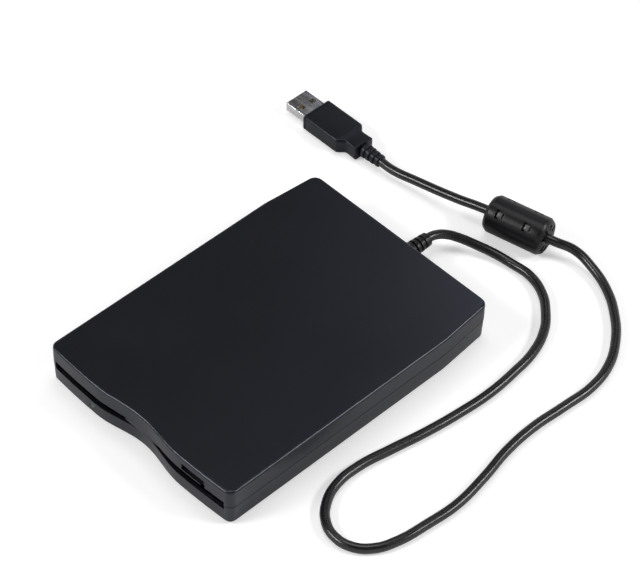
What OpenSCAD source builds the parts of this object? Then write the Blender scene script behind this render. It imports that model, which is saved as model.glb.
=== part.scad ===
// Slim external floppy disk drive with a fixed cord, a snap-on ferrite and a USB-A plug.
// Millimetres. Origin under the middle of the case on the surface it stands on.
// Front faces -Y, the disk goes in along +Y, +Z is up.

/* [Disk] */
// Width of a disk
disk_w = 90; // [84:0.5:99]
// Length of a disk
disk_l = 94; // [86:0.5:103]
// Thickness of a disk
disk_t = 3.3; // [3:0.1:3.6]
// How far a loaded disk sinks onto the spindle
drop = 2.4; // [2.2:0.1:2.5]

/* [Case] */
// Room beside the disk, out to the side of the case
side_room = 6.4; // [6:0.1:8]
// Room in front of a loaded disk, out to the front crests
front_room = 6; // [5.6:0.1:7]
// Room behind a loaded disk for the heads' drive and the boards
rear_room = 42; // [39:0.5:48]
// Room above the slot for the slide plate, the lid and the roof
top_room = 6.7; // [6.4:0.1:8]
// How far each side tapers in towards the rear wall
side_taper = 2.4; // [1:0.1:3.4]
// Length over which the sides taper in
taper_l = 26.5; // [15:0.5:40]
// Radius of the front upright corners
corner_front = 3.5; // [2:0.5:4]
// Radius of the rear upright corners
corner_rear = 4; // [3:0.5:5]
// Wall thickness of both shells
wall = 1.6; // [1.4:0.1:1.8]
// Thickness of the roof and of the floor
skin_t = 1.6; // [1.4:0.1:1.8]
// Radius of the rounded top edge
top_round = 1; // [0.5:0.1:1.4]
// Height of the parting line above the underside
seam_up = 9.5; // [9:0.1:10.2]
// How far the underside is drawn in from the sides
draft = 0.45; // [0.2:0.05:0.5]
// Distance of the two front crests from the middle
crest_x = 24; // [18:1:30]
// Depth of the finger dip in the top shell's front
top_dip = 2.4; // [1.6:0.1:2.6]
// Depth of the finger dip in the bottom shell's front
bottom_dip = 3.5; // [2.6:0.1:3.8]
// How far the front falls back from the crests to the corners
side_fall = 0.9; // [0:0.1:1.5]
// Height of the rubber feet below the case
foot_h = 0.8; // [0.6:0.1:1.5]
// Diameter of the rubber feet
foot_d = 8; // [6:0.5:9]

/* [Slot] */
// Clearance beside the disk in the slot
slot_play = 3; // [2.8:0.1:3.2]
// Height of the slot in the front
slot_h = 4.3; // [4.2:0.1:4.4]
// Height of the slot's sill above the underside
slot_up = 7; // [7:0.1:7.2]
// Thickness of the slot door
door_t = 1; // [0.8:0.1:1.1]
// How far the raised pads stand off the door
pad_t = 1; // [0.6:0.1:1.1]

/* [Eject button] */
// Middle of the button from the middle of the case
button_x = 31.85; // [30:0.05:33]
// Width of the button's window
window_w = 12.5; // [11:0.5:13]
// Height of the button's window
window_h = 3.1; // [3:0.1:3.3]
// Travel of the button and the slide plate
eject_travel = 4.5; // [4:0.1:4.6]

/* [Drive] */
// Sheet thickness of the frame's base and sides
frame_t = 0.8; // [0.6:0.1:0.9]
// Sheet thickness of the disk holder
holder_t = 0.5; // [0.4:0.05:0.5]
// Sheet thickness of the slide plate
slide_t = 0.6; // [0.5:0.05:0.65]
// Diameter of the holder's guide pins
guide_pin_d = 1.6; // [1.2:0.1:1.8]
// Diameter of the spindle rotor
rotor_d = 40; // [36:1:41]
// Diameter of the rotor's hub
hub_d = 22; // [20:1:24]
// Diameter of the spindle shaft
shaft_d = 3.95; // [3.5:0.05:4.2]
// Number of stator poles
poles = 12; // [9:3:15]
// Travel of the head carriage from the outermost to the innermost track
head_travel = 14.8; // [14:0.1:15]
// Length of the upper head arm from its pivot to the head
arm_l = 27; // [26:0.5:28]
// How far the upper head lifts off the disk
head_lift = 4.2; // [3.8:0.1:4.3]
// Diameter of the guide rod
rod_d = 3; // [2.5:0.1:3.5]
// Diameter of the lead screw
screw_d = 2.6; // [2.2:0.1:3]
// Diameter of the stepper motor
stepper_d = 10; // [9:0.5:10.5]
// Swing of the shutter lever
lever_swing = 45; // [35:5:50]
// Travel of the detect switches
switch_travel = 0.6; // [0.4:0.1:0.8]

/* [Cord] */
// Diameter of the cord
cord_d = 4; // [3.6:0.1:4.2]
// Distance of the cord's exit from the middle of the case
exit_x = 1.5; // [-3:0.5:6]
// Height of the cord's exit above the surface
exit_z = 8.8; // [8.4:0.1:9]
// Length of the strain relief outside the case
relief_l = 14.5; // [12:0.5:18]
// Diameter of the strain relief at the case
relief_d = 7.6; // [7:0.1:8]

/* [Ferrite] */
// Outer diameter of the ferrite sleeve
ferrite_d = 16.4; // [15.6:0.2:18]
// Length of the ferrite sleeve
ferrite_l = 27.5; // [25:0.5:30]
// Wall of the ferrite sleeve
ferrite_wall = 1.3; // [1:0.1:1.5]

/* [Plug] */
// Width of the plug's overmould
plug_w = 15.5; // [14:0.1:16]
// Height of the plug's overmould
plug_h = 7.6; // [7:0.1:8.4]
// Length of the overmould's wide part
plug_l = 20; // [18:0.5:24]
// Width of the plug's metal shell
shell_w = 12; // [11.9:0.1:12.1]
// Height of the plug's metal shell
shell_h = 4.5; // [4.4:0.1:4.6]
// Length of the metal shell outside the overmould
shell_l = 11.8; // [11.5:0.1:12]

/* [Fits] */
// Clearance of pieces that slide in each other
slide_gap = 0.15; // [0.1:0.01:0.18]
// Radial clearance of a pin or shaft in its bore
pin_gap = 0.05; // [0.02:0.01:0.08]

/* [Hidden] */
$fn = 48;
e = 0.01;

// ---- heights of the stack, from the surface up ----
case_h = slot_up + slot_h + top_room;
case_z = foot_h;
roof_z = case_z + case_h;
ceiling_z = roof_z - skin_t;
floor_z = case_z + skin_t;
seam_z = case_z + seam_up;
sill_z = case_z + slot_up;
lintel_z = sill_z + slot_h;
board_gap = 0.2;
board_t = 0.6;
board_z = floor_z + board_gap;
base_z = board_z + board_t;
base_top = base_z + frame_t;
disk_z = sill_z + (slot_h - disk_t) / 2;
disk_top = disk_z + disk_t;
disk_run_z = disk_z - drop;
disk_play = 0.15;
disk_side_play = 0.35;
lip_z = disk_z - disk_play - holder_t;
holder_top = disk_top + disk_play + holder_t;
lever_gap = 0.3;
lever_t = 0.8;
lever_z = holder_top + lever_gap;
slide_z = holder_top + 2.15;
slide_top = slide_z + slide_t;
lid_gap = 0.5;
lid_t = 0.6;
lid_z = slide_top + lid_gap;
lid_top = lid_z + lid_t;

// ---- plan of the drive ----
case_w = disk_w + 2 * side_room;
case_d = front_room + disk_l + rear_room;
rear_w = case_w - 2 * side_taper;
slot_w = disk_w + 2 * slot_play;
half_w = case_w / 2;
front_y = -case_d / 2;
back_y = case_d / 2;
holder_hw = disk_w / 2 + disk_side_play + holder_t;
flange_in = holder_hw + slide_gap;
flange_out = flange_in + slide_t;
frame_in = flange_out + slide_gap;
frame_hw = frame_in + frame_t;
door_axis_y = front_y + 5.1;
frame_front = front_y + 8;
side_front = front_y + 11.5;
frame_back = back_y - 11;
disk_lead = front_y + front_room + disk_l;
holder_back = disk_lead + 0.2;
hub_y = disk_lead - disk_w / 2 - 0.5;
head_y = hub_y + 39.5;
rod_x = 21;
rod_z = 8.4;
stepper_x = -30;
stepper_z = base_top + stepper_d / 2;
bracket_y = disk_lead + 1.6;
tower_y = bracket_y + frame_t + head_travel + 0.4;
yoke_l = 2.2;
stepper_y = tower_y + yoke_l + frame_t + 0.2;
stepper_l = frame_back - frame_t - 0.4 - stepper_y;
tower_l = 0.75 * (frame_back - frame_t - tower_y);
tower_top = 12;
arm_y = head_y + arm_l;
arm_z = tower_top + 0.9;
arm_pin_d = 1.2;
nose_z = base_top + 0.6;
nose_t = 0.9;
media_z = disk_run_z + disk_t / 2;

// ---- slot door ----
door_axis_z = lintel_z + 1.8;
door_pin_d = 1.2;
door_barrel_d = 2;
door_hw = slot_w / 2 - 0.3;
door_low = sill_z + 0.2;
pad_hw = 9.5;
end_pad_in = 28;
end_pad_out = door_hw - 1.2;
spring_x = 3.2 - door_hw;
spring_l = 3;

// ---- eject button ----
window_z = lintel_z + 0.6;
button_gap = 0.25;
button_face = front_y + 1.7;
button_back = front_y + 5.4;
window_x = button_x - window_w / 2;
tongue_w = 7;

// =====================================================================
// Outlines and lofts
// =====================================================================

corner_steps = 6;

// Points of an arc, counterclockwise from angle a0 to a1
function arc(cx, cy, r, a0, a1, n = corner_steps) =
    [for (i = [0:n]) let (a = a0 + (a1 - a0) * i / n) [cx + r * cos(a), cy + r * sin(a)]];

// Front edge of a shell: two crests with a cosine dip between them
function front_line(x, dip) =
    abs(x) < crest_x
        ? front_y + dip * (1 + cos(180 * x / crest_x)) / 2
        : front_y + side_fall * pow((abs(x) - crest_x) / (half_w - corner_front - crest_x), 2);

taper_a = atan(side_taper / taper_l);
taper_c = half_w * cos(taper_a) + (back_y - taper_l) * sin(taper_a);
rear_cy = back_y - corner_rear;
rear_cx = (taper_c - corner_rear - rear_cy * sin(taper_a)) / cos(taper_a);
front_cx = half_w - corner_front;
wave_steps = 36;

// Right half of the rear and side, from the front corner to the rear wall
function side_points(inset, dip) = concat(
    arc(front_cx, front_line(front_cx, dip) + corner_front, corner_front - inset, -90, 0),
    [[half_w - inset, back_y - taper_l + inset * tan(taper_a / 2)]],
    arc(rear_cx, rear_cy, corner_rear - inset, taper_a, 90));

function mirrored(points) = [for (i = [len(points) - 1:-1:0]) [-points[i][0], points[i][1]]];

// Plan of the case drawn in by inset, counterclockwise
function case_plan(inset, dip) = concat(
    [for (i = [1:wave_steps - 1]) let (x = front_cx * (2 * i / wave_steps - 1))
        [x, front_line(x, dip) + inset]],
    side_points(inset, dip),
    mirrored(side_points(inset, dip)));

// Faces that close the case's plan, fanned out from the two ends of the rear edge
function case_cap() =
    let (n = len(case_plan(0, 0)), m = wave_steps / 2 - 1, a = wave_steps + 2 * corner_steps + 1) concat(
        [[a, a + 1, m]],
        [for (i = [m:a - 2]) [a, i, i + 1]],
        [for (i = [a + 2:n + m - 1]) [a + 1, i % n, (i + 1) % n]]);

// Faces that close an outline of n points whose second half mirrors the first
function mirror_cap(n) = [for (i = [0:n / 2 - 2]) [i, i + 1, n - 2 - i, n - 1 - i]];

function reversed(list) = [for (i = [len(list) - 1:-1:0]) list[i]];

// Skin over rings of equal point counts, each ring [z, points], closed by the faces in cap
module loft(rings, cap) {
    n = len(rings[0][1]);
    last = len(rings) - 1;
    points = [for (r = rings) for (p = r[1]) [p[0], p[1], r[0]]];
    sides = [for (k = [0:last - 1]) for (i = [0:n - 1])
        let (a = k * n + i, b = k * n + (i + 1) % n)
        each [[a, a + n, b + n], [a, b + n, b]]];
    top = [for (f = cap) [for (i = reversed(f)) last * n + i]];
    polyhedron(points, concat(sides, cap, top), convexity = 6);
}

// Prism along X from x0 to x1, with its profile given as [y, z] points
module along_x(x0, x1) {
    translate([x0, 0, 0]) rotate([90, 0, 90]) linear_extrude(x1 - x0) children();
}

module block(x0, x1, y0, y1, z0, z1) {
    translate([x0, y0, z0]) cube([x1 - x0, y1 - y0, z1 - z0]);
}

module post(x, y, z0, z1, d) {
    translate([x, y, z0]) cylinder(d = d, h = z1 - z0);
}

module axle_x(x0, x1, y, z, d) {
    translate([x0, y, z]) rotate([0, 90, 0]) cylinder(d = d, h = x1 - x0);
}

module axle_y(y0, y1, x, z, d) {
    translate([x, y0, z]) rotate([-90, 0, 0]) cylinder(d = d, h = y1 - y0);
}

module both_sides() {
    children();
    mirror([1, 0, 0]) children();
}

// Round slot along a line from one centre to the other, in the plane of the profile
module slot_shape(a, b, d) {
    run = b - a;
    translate(a) circle(d = d);
    translate(b) circle(d = d);
    translate(a) rotate(atan2(run[1], run[0])) translate([0, -d / 2]) square([norm(run), d]);
}

// Tube swept along points, with a ring of sides at each point square to the route
function unit(v) = v / norm(v);
function heading(p, i) =
    let (last = len(p) - 1) unit(p[min(i + 1, last)] - p[max(i - 1, 0)]);
function side_of(t) = unit(cross(t, abs(t[2]) > 0.9 ? [1, 0, 0] : [0, 0, 1]));

module tube(route, d, sides) {
    last = len(route) - 1;
    points = [for (i = [0:last])
        let (t = heading(route, i), u = side_of(t), v = cross(t, u))
        for (k = [0:sides - 1]) let (a = 360 * k / sides)
            route[i] + d / 2 * (cos(a) * u + sin(a) * v)];
    skin = [for (i = [0:last - 1]) for (k = [0:sides - 1])
        let (a = i * sides + k, b = i * sides + (k + 1) % sides)
        each [[a, b + sides, a + sides], [a, b, b + sides]]];
    ends = [[for (k = [sides - 1:-1:0]) k], [for (k = [0:sides - 1]) last * sides + k]];
    polyhedron(points, concat(skin, ends), convexity = 8);
}

// =====================================================================
// Case
// =====================================================================

rear_boss_x = rear_w / 2 - 7;
rear_boss_y = back_y - 6.5;
frame_screw_x = frame_hw - 7.5;
frame_screw_y = [front_y + 15, frame_back - 16];
case_screw_d = 2.5;
screw_head_d = 4.6;
screw_head_h = 1.1;
screw_sink = 1.3;
foot_x = half_w - 11.4;
foot_y = [front_y + 27, back_y - 15];
recess_y = front_y + 3;
foot_seat = 0.5;
lug_in = slot_w / 2 + 0.1;
seam_groove = 0.55;
groove_h = 0.45;
lip_t = 0.6;
lip_h = 0.8;
lens_x = -26;
lens_back = front_y + 3.4;
lens_flange_t = 1.3;
lens_z = case_z + 4;
lens_d = 2.4;
relief_neck_d = 6;
inner_bottom = wall + 0.15;
tab_y = [front_y + 21, 0, back_y - 35];
tab_l = 6;
tab_x = half_w - inner_bottom - 0.1;
rib_t = 1;
rib_h = 2.8;
rib_x = [-34, -18, 12, 28];
side_rib_w = 0.8;
side_rib_y = [for (i = [0:1]) for (f = [1, 2]) tab_y[i] + f * (tab_y[i + 1] - tab_y[i]) / 3];

module slot_cut() block(-slot_w / 2, slot_w / 2, front_y - 2, side_front, sill_z, lintel_z);

module top_cover() color("#24252a") {
    difference() {
        loft(concat(
            [[seam_z, case_plan(0, top_dip)]],
            [for (i = [0:4]) let (a = 90 * i / 4)
                [roof_z - top_round * (1 - sin(a)), case_plan(top_round * (1 - cos(a)), top_dip)]]),
            case_cap());
        translate([0, 0, seam_z - 1]) linear_extrude(ceiling_z - seam_z + 1) polygon(case_plan(wall, top_dip));
        // Seat for the bottom shell's lip
        translate([0, 0, seam_z - 1]) linear_extrude(lip_h + 0.1 + 1)
            polygon(case_plan(wall - lip_t - 0.1, top_dip));
        slot_cut();
        // Window for the eject button, and the notch that joins it to the slot
        block(window_x, window_x + window_w, front_y - 2, recess_y, window_z, window_z + window_h);
        block(window_x + window_w - 2.2, window_x + window_w - 0.2, front_y - 2, recess_y,
              lintel_z - 1, window_z + 1);
        axle_y(back_y - wall - 2, back_y + 2, exit_x, exit_z, relief_neck_d + 0.1);
    }
    // Lugs that carry the slot door
    both_sides() difference() {
        block(lug_in, half_w - wall + e, door_axis_y - 1.2, door_axis_y + 1.2, lintel_z + 0.5, ceiling_z + e);
        axle_x(lug_in - 1, half_w, door_axis_y, door_axis_z, door_pin_d + 2 * pin_gap);
    }
    // Screw bosses at the rear
    both_sides() difference() {
        post(rear_boss_x, rear_boss_y, seam_z + 0.1, ceiling_z + e, 5.6);
        post(rear_boss_x, rear_boss_y, seam_z - 1, ceiling_z - 1.2, case_screw_d + 2 * pin_gap);
    }
    // Ribs across the roof behind the drive, and down the sides
    for (x = rib_x)
        block(x - rib_t / 2, x + rib_t / 2, frame_back + 1, back_y - wall + e,
              ceiling_z - rib_h, ceiling_z + e);
    both_sides() for (y = side_rib_y)
        block(half_w - wall - side_rib_w, half_w - wall + e, y - rib_t / 2, y + rib_t / 2,
              seam_z + lip_h + 0.3, ceiling_z + e);
    // Tabs that snap into the bottom shell
    both_sides() for (y = tab_y) {
        block(tab_x - 1, tab_x, y - tab_l / 2, y + tab_l / 2, seam_z - 2.6, ceiling_z - 3);
        block(tab_x - e, half_w - wall + e, y - tab_l / 2, y + tab_l / 2,
              seam_z + lip_h + 0.3, ceiling_z - 3);
    }
}

module foot_seats(z0, z1, d) {
    both_sides() for (y = foot_y) post(foot_x, y, z0, z1, d);
}

module bottom_cover() color("#202126") {
    difference() {
        loft([
            [case_z, case_plan(draft + 0.5, bottom_dip)],
            [case_z + 0.7, case_plan(draft, bottom_dip)],
            [seam_z - groove_h, case_plan(0.12, bottom_dip)],
            [seam_z - groove_h + 0.1, case_plan(seam_groove, bottom_dip)],
            [seam_z, case_plan(seam_groove, bottom_dip)]], case_cap());
        translate([0, 0, floor_z]) linear_extrude(case_h) polygon(case_plan(inner_bottom, bottom_dip));
        slot_cut();
        axle_y(back_y - wall - 2, back_y + 2, exit_x, exit_z, relief_neck_d + 0.1);
        axle_y(front_y - 1, recess_y, lens_x, lens_z, lens_d + 0.1);
        foot_seats(case_z - 1, case_z + foot_seat, foot_d + 0.1);
        both_sides() for (y = frame_screw_y) {
            post(frame_screw_x, y, case_z - 1, case_z + screw_sink, screw_head_d + 0.3);
            post(frame_screw_x, y, case_z, base_z, case_screw_d + 2 * pin_gap);
        }
        both_sides() {
            post(rear_boss_x, rear_boss_y, case_z - 1, case_z + screw_sink, screw_head_d + 0.3);
            post(rear_boss_x, rear_boss_y, case_z, seam_z, case_screw_d + 2 * pin_gap);
        }
    }
    // Lip inside the top shell, open at the slot
    difference() {
        translate([0, 0, seam_z - 1]) linear_extrude(1 + lip_h) difference() {
            polygon(case_plan(inner_bottom - lip_t, bottom_dip));
            polygon(case_plan(inner_bottom, bottom_dip));
        }
        block(-half_w, half_w, front_y - 1, side_front, seam_z - 2, seam_z + 2);
        axle_y(back_y - wall - 2, back_y + 2, exit_x, exit_z, relief_neck_d + 0.1);
    }
    // Standoffs under the drive frame
    both_sides() for (y = frame_screw_y) difference() {
        post(frame_screw_x, y, floor_z - e, base_z, 6);
        post(frame_screw_x, y, case_z, base_z + 1, case_screw_d + 2 * pin_gap);
    }
    // Rear screw towers
    both_sides() difference() {
        post(rear_boss_x, rear_boss_y, floor_z - e, seam_z, 5.6);
        post(rear_boss_x, rear_boss_y, case_z, seam_z + 1, case_screw_d + 2 * pin_gap);
    }
    // Ribs across the floor behind the drive
    for (x = rib_x) block(x - rib_t / 2, x + rib_t / 2, frame_back + 3.4, back_y - wall, floor_z - e, base_z);
    // Pegs under the interface board
    for (x = interface_pegs) {
        post(x, interface_y, floor_z - e, interface_z, 4);
        post(x, interface_y, floor_z, interface_z + 1.4, peg_d);
    }
}

module rubber_feet() color("#17171a") both_sides() for (y = foot_y)
    translate([foot_x, y, 0]) rotate_extrude() polygon([
        [0, 0], [foot_d / 2 - 0.4, 0], [foot_d / 2, 0.4],
        [foot_d / 2, case_z + foot_seat], [0, case_z + foot_seat]]);

// Pan-head screw pointing up from z
module pan_screw(z, length) {
    rotate_extrude() polygon(concat(
        [[0, z], [screw_head_d / 2 - 0.5, z], [screw_head_d / 2, z + 0.5],
         [screw_head_d / 2, z + screw_head_h], [case_screw_d / 2, z + screw_head_h],
         [case_screw_d / 2, z + length - 0.4], [case_screw_d / 2 - 0.4, z + length], [0, z + length]]));
}

module case_screws() color("#8d8f94") {
    head_z = case_z + screw_sink - screw_head_h;
    both_sides() translate([rear_boss_x, rear_boss_y, 0]) difference() {
        pan_screw(head_z, 12);
        cross_recess(head_z);
    }
    both_sides() for (y = frame_screw_y) translate([frame_screw_x, y, 0]) difference() {
        pan_screw(head_z, base_top + 0.7 - head_z);
        cross_recess(head_z);
    }
}

module cross_recess(z) {
    for (a = [0, 90]) rotate(a) block(-1.2, 1.2, -0.25, 0.25, z - 1, z + 0.6);
}

module status_lens() color("#9fc7a0") translate([lens_x, 0, lens_z])
    rotate([-90, 0, 0]) rotate_extrude() polygon([
        [0, front_y + 0.25], [lens_d / 2 - 0.3, front_y + 0.3], [lens_d / 2, front_y + 0.6],
        [lens_d / 2, lens_back - lens_flange_t], [lens_d / 2 + 0.7, lens_back - lens_flange_t],
        [lens_d / 2 + 0.7, lens_back], [0, lens_back]]);

module status_light() color("#d8e6c8") {
    y = lens_back + 0.2;
    block(lens_x - 1.5, lens_x + 1.5, y, y + 2, lens_z - 1.1, lens_z + 1.1);
    for (x = [-0.9, 0.9])
        block(lens_x + x - 0.25, lens_x + x + 0.25, y + 0.8, y + 1.2, base_z, lens_z - 1.1 + e);
}

// =====================================================================
// Slot door
// =====================================================================

module door_profile(pad) {
    back = door_axis_y;
    front = back - door_t;
    polygon(pad > 0
        ? [[back, door_low], [back, lintel_z + 0.1], [front, lintel_z + 0.1], [front, lintel_z - 0.15],
           [front - pad, lintel_z - 0.35], [front - pad, door_low + 0.5], [front, door_low + 0.1],
           [front, door_low]]
        : [[back, door_low], [back, lintel_z + 0.1], [front, lintel_z + 0.1], [front, door_low]]);
}

module barrel_part(x0, x1) {
    axle_x(x0, x1, door_axis_y, door_axis_z, door_barrel_d);
    block(x0, x1, door_axis_y - door_t, door_axis_y, lintel_z, door_axis_z);
}

module slot_door() color("#2a2b2f") difference() {
    union() {
        along_x(-door_hw, door_hw) door_profile(0);
        along_x(-pad_hw, pad_hw) door_profile(pad_t);
        for (s = [-1, 1]) along_x(min(s * end_pad_in, s * end_pad_out), max(s * end_pad_in, s * end_pad_out))
            door_profile(pad_t);
        barrel_part(-door_hw, spring_x - 0.4);
        barrel_part(spring_x + spring_l + 0.4, window_x - 1.2);
        barrel_part(window_x + window_w + 1.2, door_hw);
        both_sides() axle_x(door_hw - e, half_w - wall - 0.4, door_axis_y, door_axis_z, door_pin_d);
        axle_x(spring_x - 1, spring_x + spring_l + 1, door_axis_y, door_axis_z, door_pin_d);
    }
}

// Helix of round wire along +X, as points from the first turn to the last
function helix(r, pitch, turns, per = 8) =
    [for (i = [0:turns * per]) [pitch * i / per, r * cos(360 * i / per), r * sin(360 * i / per)]];

spring_wire = 0.3;

module door_spring() color("#b9bcc2") {
    r = door_pin_d / 2 + 0.1 + spring_wire / 2;
    translate([spring_x, door_axis_y, door_axis_z])
        tube(concat(
            [[0, r, -3.2], [0, r, -1.6]],
            helix(r, 0.5, 5),
            [[2.5, r, 1.6], [2.5, r, 3]]), spring_wire, 6);
}

// =====================================================================
// Eject button and slide plate
// =====================================================================

button_ease = 0.4;

module eject_button() color("#1b1b1f") difference() {
    low = window_z + button_gap;
    high = window_z + window_h - button_gap;
    along_x(window_x + button_gap, window_x + window_w - button_gap) polygon([
        [button_back, low], [button_back, high],
        [button_face + button_ease, high], [button_face, high - button_ease],
        [button_face, low + button_ease], [button_face + button_ease, low]]);
    // Socket for the slide plate's tongue
    block(button_x - tongue_w / 2 - pin_gap, button_x + tongue_w / 2 + pin_gap, button_back - 1.2,
          button_back + 1, slide_z - pin_gap, slide_top + pin_gap);
}

pin_y = [side_front + 9.5, disk_lead - 14];
pin_z = disk_z + disk_t / 2;
slide_front = front_y + 11;
slide_back = disk_lead + 7;
flange_low = base_top + 1.8;
arm_window = 14;

rivet_d = 2.2;
rivets = [for (y = [hub_y - 22, hub_y + 22]) for (s = [-1, 1]) [s * (flange_in - 5), y]];

module slide_plate() color("#a7aab0") difference() {
    union() {
        block(-flange_out, flange_out, slide_front, slide_back, slide_z, slide_top);
        both_sides() block(flange_in, flange_out, slide_front + 5, disk_lead - 5, flange_low, slide_top);
        block(button_x - tongue_w / 2, button_x + tongue_w / 2, button_back - 1.1, slide_front + 1,
              slide_z, slide_top);
        // Ears that the springs hook on
        both_sides() block(spring_side_x - 2.5, flange_out, slide_back - 1, slide_back + spring_reach,
              slide_z, slide_top);
        both_sides() block(spring_side_x - 2.5, spring_side_x + 2.5, slide_back + spring_reach - slide_t,
              slide_back + spring_reach, spring_axis_z - 1.2, slide_top);
    }
    // Window over the head arm, open at the rear
    block(-arm_window, arm_window, head_y - 21, slide_back + 1, slide_z - 1, slide_top + 1);
    // Ramp slots for the holder's pins
    for (y = pin_y) along_x(-half_w, half_w)
        slot_shape([y, pin_z], [y + eject_travel, pin_z - drop], guide_pin_d + 2 * slide_gap);
    // Slots that run on the lid's rivets
    for (p = rivets) translate([0, 0, slide_z - 1]) linear_extrude(3)
        slot_shape(p, p + [0, eject_travel], rivet_d + 2 * slide_gap);
    // Hub window
    post(0, hub_y, slide_z - 1, slide_top + 1, 30);
    // Lightening windows
    both_sides() block(22, 36, hub_y - 27, hub_y + 13, slide_z - 1, slide_top + 1);
}

spring_axis_z = 8.6;
spring_side_x = frame_in - 6.2;
spring_reach = 15;
spring_d = 3.2;
spring_turns = 10;
spring_pitch = 1.2;

module slide_springs() color("#b9bcc2") both_sides()
    translate([spring_side_x, slide_back + 1.6, spring_axis_z]) rotate([0, 0, 90])
        tube(concat([[-0.9, 0, 0], [0, spring_d / 4, 0]], helix(spring_d / 2, spring_pitch, spring_turns),
            [for (x = [0.3, 0.5]) [spring_pitch * spring_turns + x, 0, 0]]), 0.4, 6);

// =====================================================================
// Drive frame, lid and disk holder
// =====================================================================

bead_h = 0.3;
side_window_z = (base_top + lid_z) / 2;
side_window_h = 4;

module drive_frame() color("#b4b6ba") difference() {
    union() {
        block(-frame_hw, frame_hw, frame_front, frame_back, base_z, base_top);
        both_sides() block(frame_in, frame_hw, side_front, frame_back, base_z, lid_z);
        block(-frame_hw, frame_hw, frame_back - frame_t, frame_back, base_z, lid_z);
        both_sides() for (y = frame_screw_y) post(frame_screw_x, y, base_top - e, base_top + 0.8, 5);
        // Bead pressed up round the spindle opening
        post(0, hub_y, base_top - e, base_top + bead_h, rotor_d + 9);
        // Rod and lead screw brackets, bent up from the base
        for (x = [rod_x, stepper_x])
            block(x - 3, x + 3, bracket_y, bracket_y + frame_t, base_z, holder_top - 0.25);
        // Stepper saddle
        block(stepper_x - 6.5, stepper_x + 6.5, stepper_y - frame_t, stepper_y,
              base_z, stepper_z + stepper_d / 2 + 1);
        // Anchors for the springs
        both_sides() block(spring_side_x - 2.5, spring_side_x + 2.5, slide_back - 0.2, slide_back + 0.5,
              base_z, spring_axis_z + 1.4);
    }
    // Spindle opening, stepped inside the bead
    post(0, hub_y, base_z - 1, base_top + 1, rotor_d + 4);
    post(0, hub_y, base_top, base_top + 1, rotor_d + 7.4);
    // Windows beside the spindle and in the sides
    both_sides() for (y = [hub_y - 8, hub_y + 22])
        translate([0, 0, base_z - 1]) linear_extrude(frame_t + 2)
            slot_shape([rotor_d / 2 + 12, y - 5], [rotor_d / 2 + 12, y + 5], 5);
    both_sides() along_x(frame_in - 1, frame_hw + 1) slot_shape(
        [pin_y[0] + 14, side_window_z], [pin_y[1] - 14, side_window_z], side_window_h);
    // Cropped front corners of the base
    both_sides() translate([frame_hw, frame_front, base_z - 1]) rotate(45)
        block(-6, 6, -6, 6, 0, frame_t + 1.5);
    // Openings over the controller board's chips
    block(-20, 16, bracket_y + 2.4, frame_back - 1.5, base_z - 1, base_top + 1);
    block(1 - board_hw, 8 - board_hw, frame_back - 11, frame_back - 4, base_z - 1, base_top + 1);
    block(board_hw - 18, board_hw - 1, frame_back - 12, frame_back - 3, base_z - 1, base_top + 1);
    // Upright slots for the holder's pins
    for (y = pin_y) along_x(-half_w, half_w)
        slot_shape([y, pin_z], [y, pin_z - drop], guide_pin_d + 2 * slide_gap);
    // Seats of the rod and the lead screw
    axle_y(bracket_y - 1, frame_back + 1, rod_x, rod_z, rod_d + 2 * pin_gap);
    axle_y(bracket_y - 1, stepper_y + 1, stepper_x, stepper_z, screw_d + 2 * pin_gap);
    // Screw bores
    both_sides() for (y = frame_screw_y)
        post(frame_screw_x, y, base_z - 1, base_top + 2, case_screw_d + 2 * pin_gap);
    // Notch for the board connector in the rear wall
    block(-14, 14, frame_back - frame_t - 1, frame_back + 1, base_z - 1, base_z + 2.6);
    // Holes for the detect switches' feet
    for (s = switch_spots) post(s[0], s[1], base_z - 1, base_top + 1, 1.2);
}

module frame_lid() color("#c0c2c6") difference() {
    union() {
        block(-frame_hw, frame_hw, side_front, frame_back, lid_z, lid_top);
        // Pressed ribs
        both_sides() for (x = [20, 34])
            block(x - 1, x + 1, side_front + 11.5, frame_back - 20, lid_top - e, lid_top + 0.3);
        // Shoulder rivets that guide the slide plate
        for (p = rivets) {
            post(p[0], p[1], slide_z - 0.2, lid_z + e, rivet_d);
            post(p[0], p[1], lid_top - e, lid_top + 0.3, rivet_d + 1.6);
        }
    }
    // Louvres over the controller board
    both_sides() for (i = [0:4]) translate([0, 0, lid_z - 1]) linear_extrude(lid_t + 2)
        slot_shape([26, frame_back - 6 - 2.6 * i], [38, frame_back - 6 - 2.6 * i], 1.2);
    post(0, hub_y, lid_z - 1, lid_top + 1, 26);
    block(-9, 9, head_y - 19, disk_lead + 1, lid_z - 1, lid_top + 1);
}

lever_x = -33;
lever_l = 20;
lever_rest = 20;
lever_y = disk_lead + 0.95 - lever_l * sin(lever_rest + lever_swing);
lever_tip_d = 2.4;
finger_d = 2;

leaf_x = disk_w / 2 - 12;
leaf_w = 5;
leaf_l = 14;
leaf_slit = 0.8;

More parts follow.
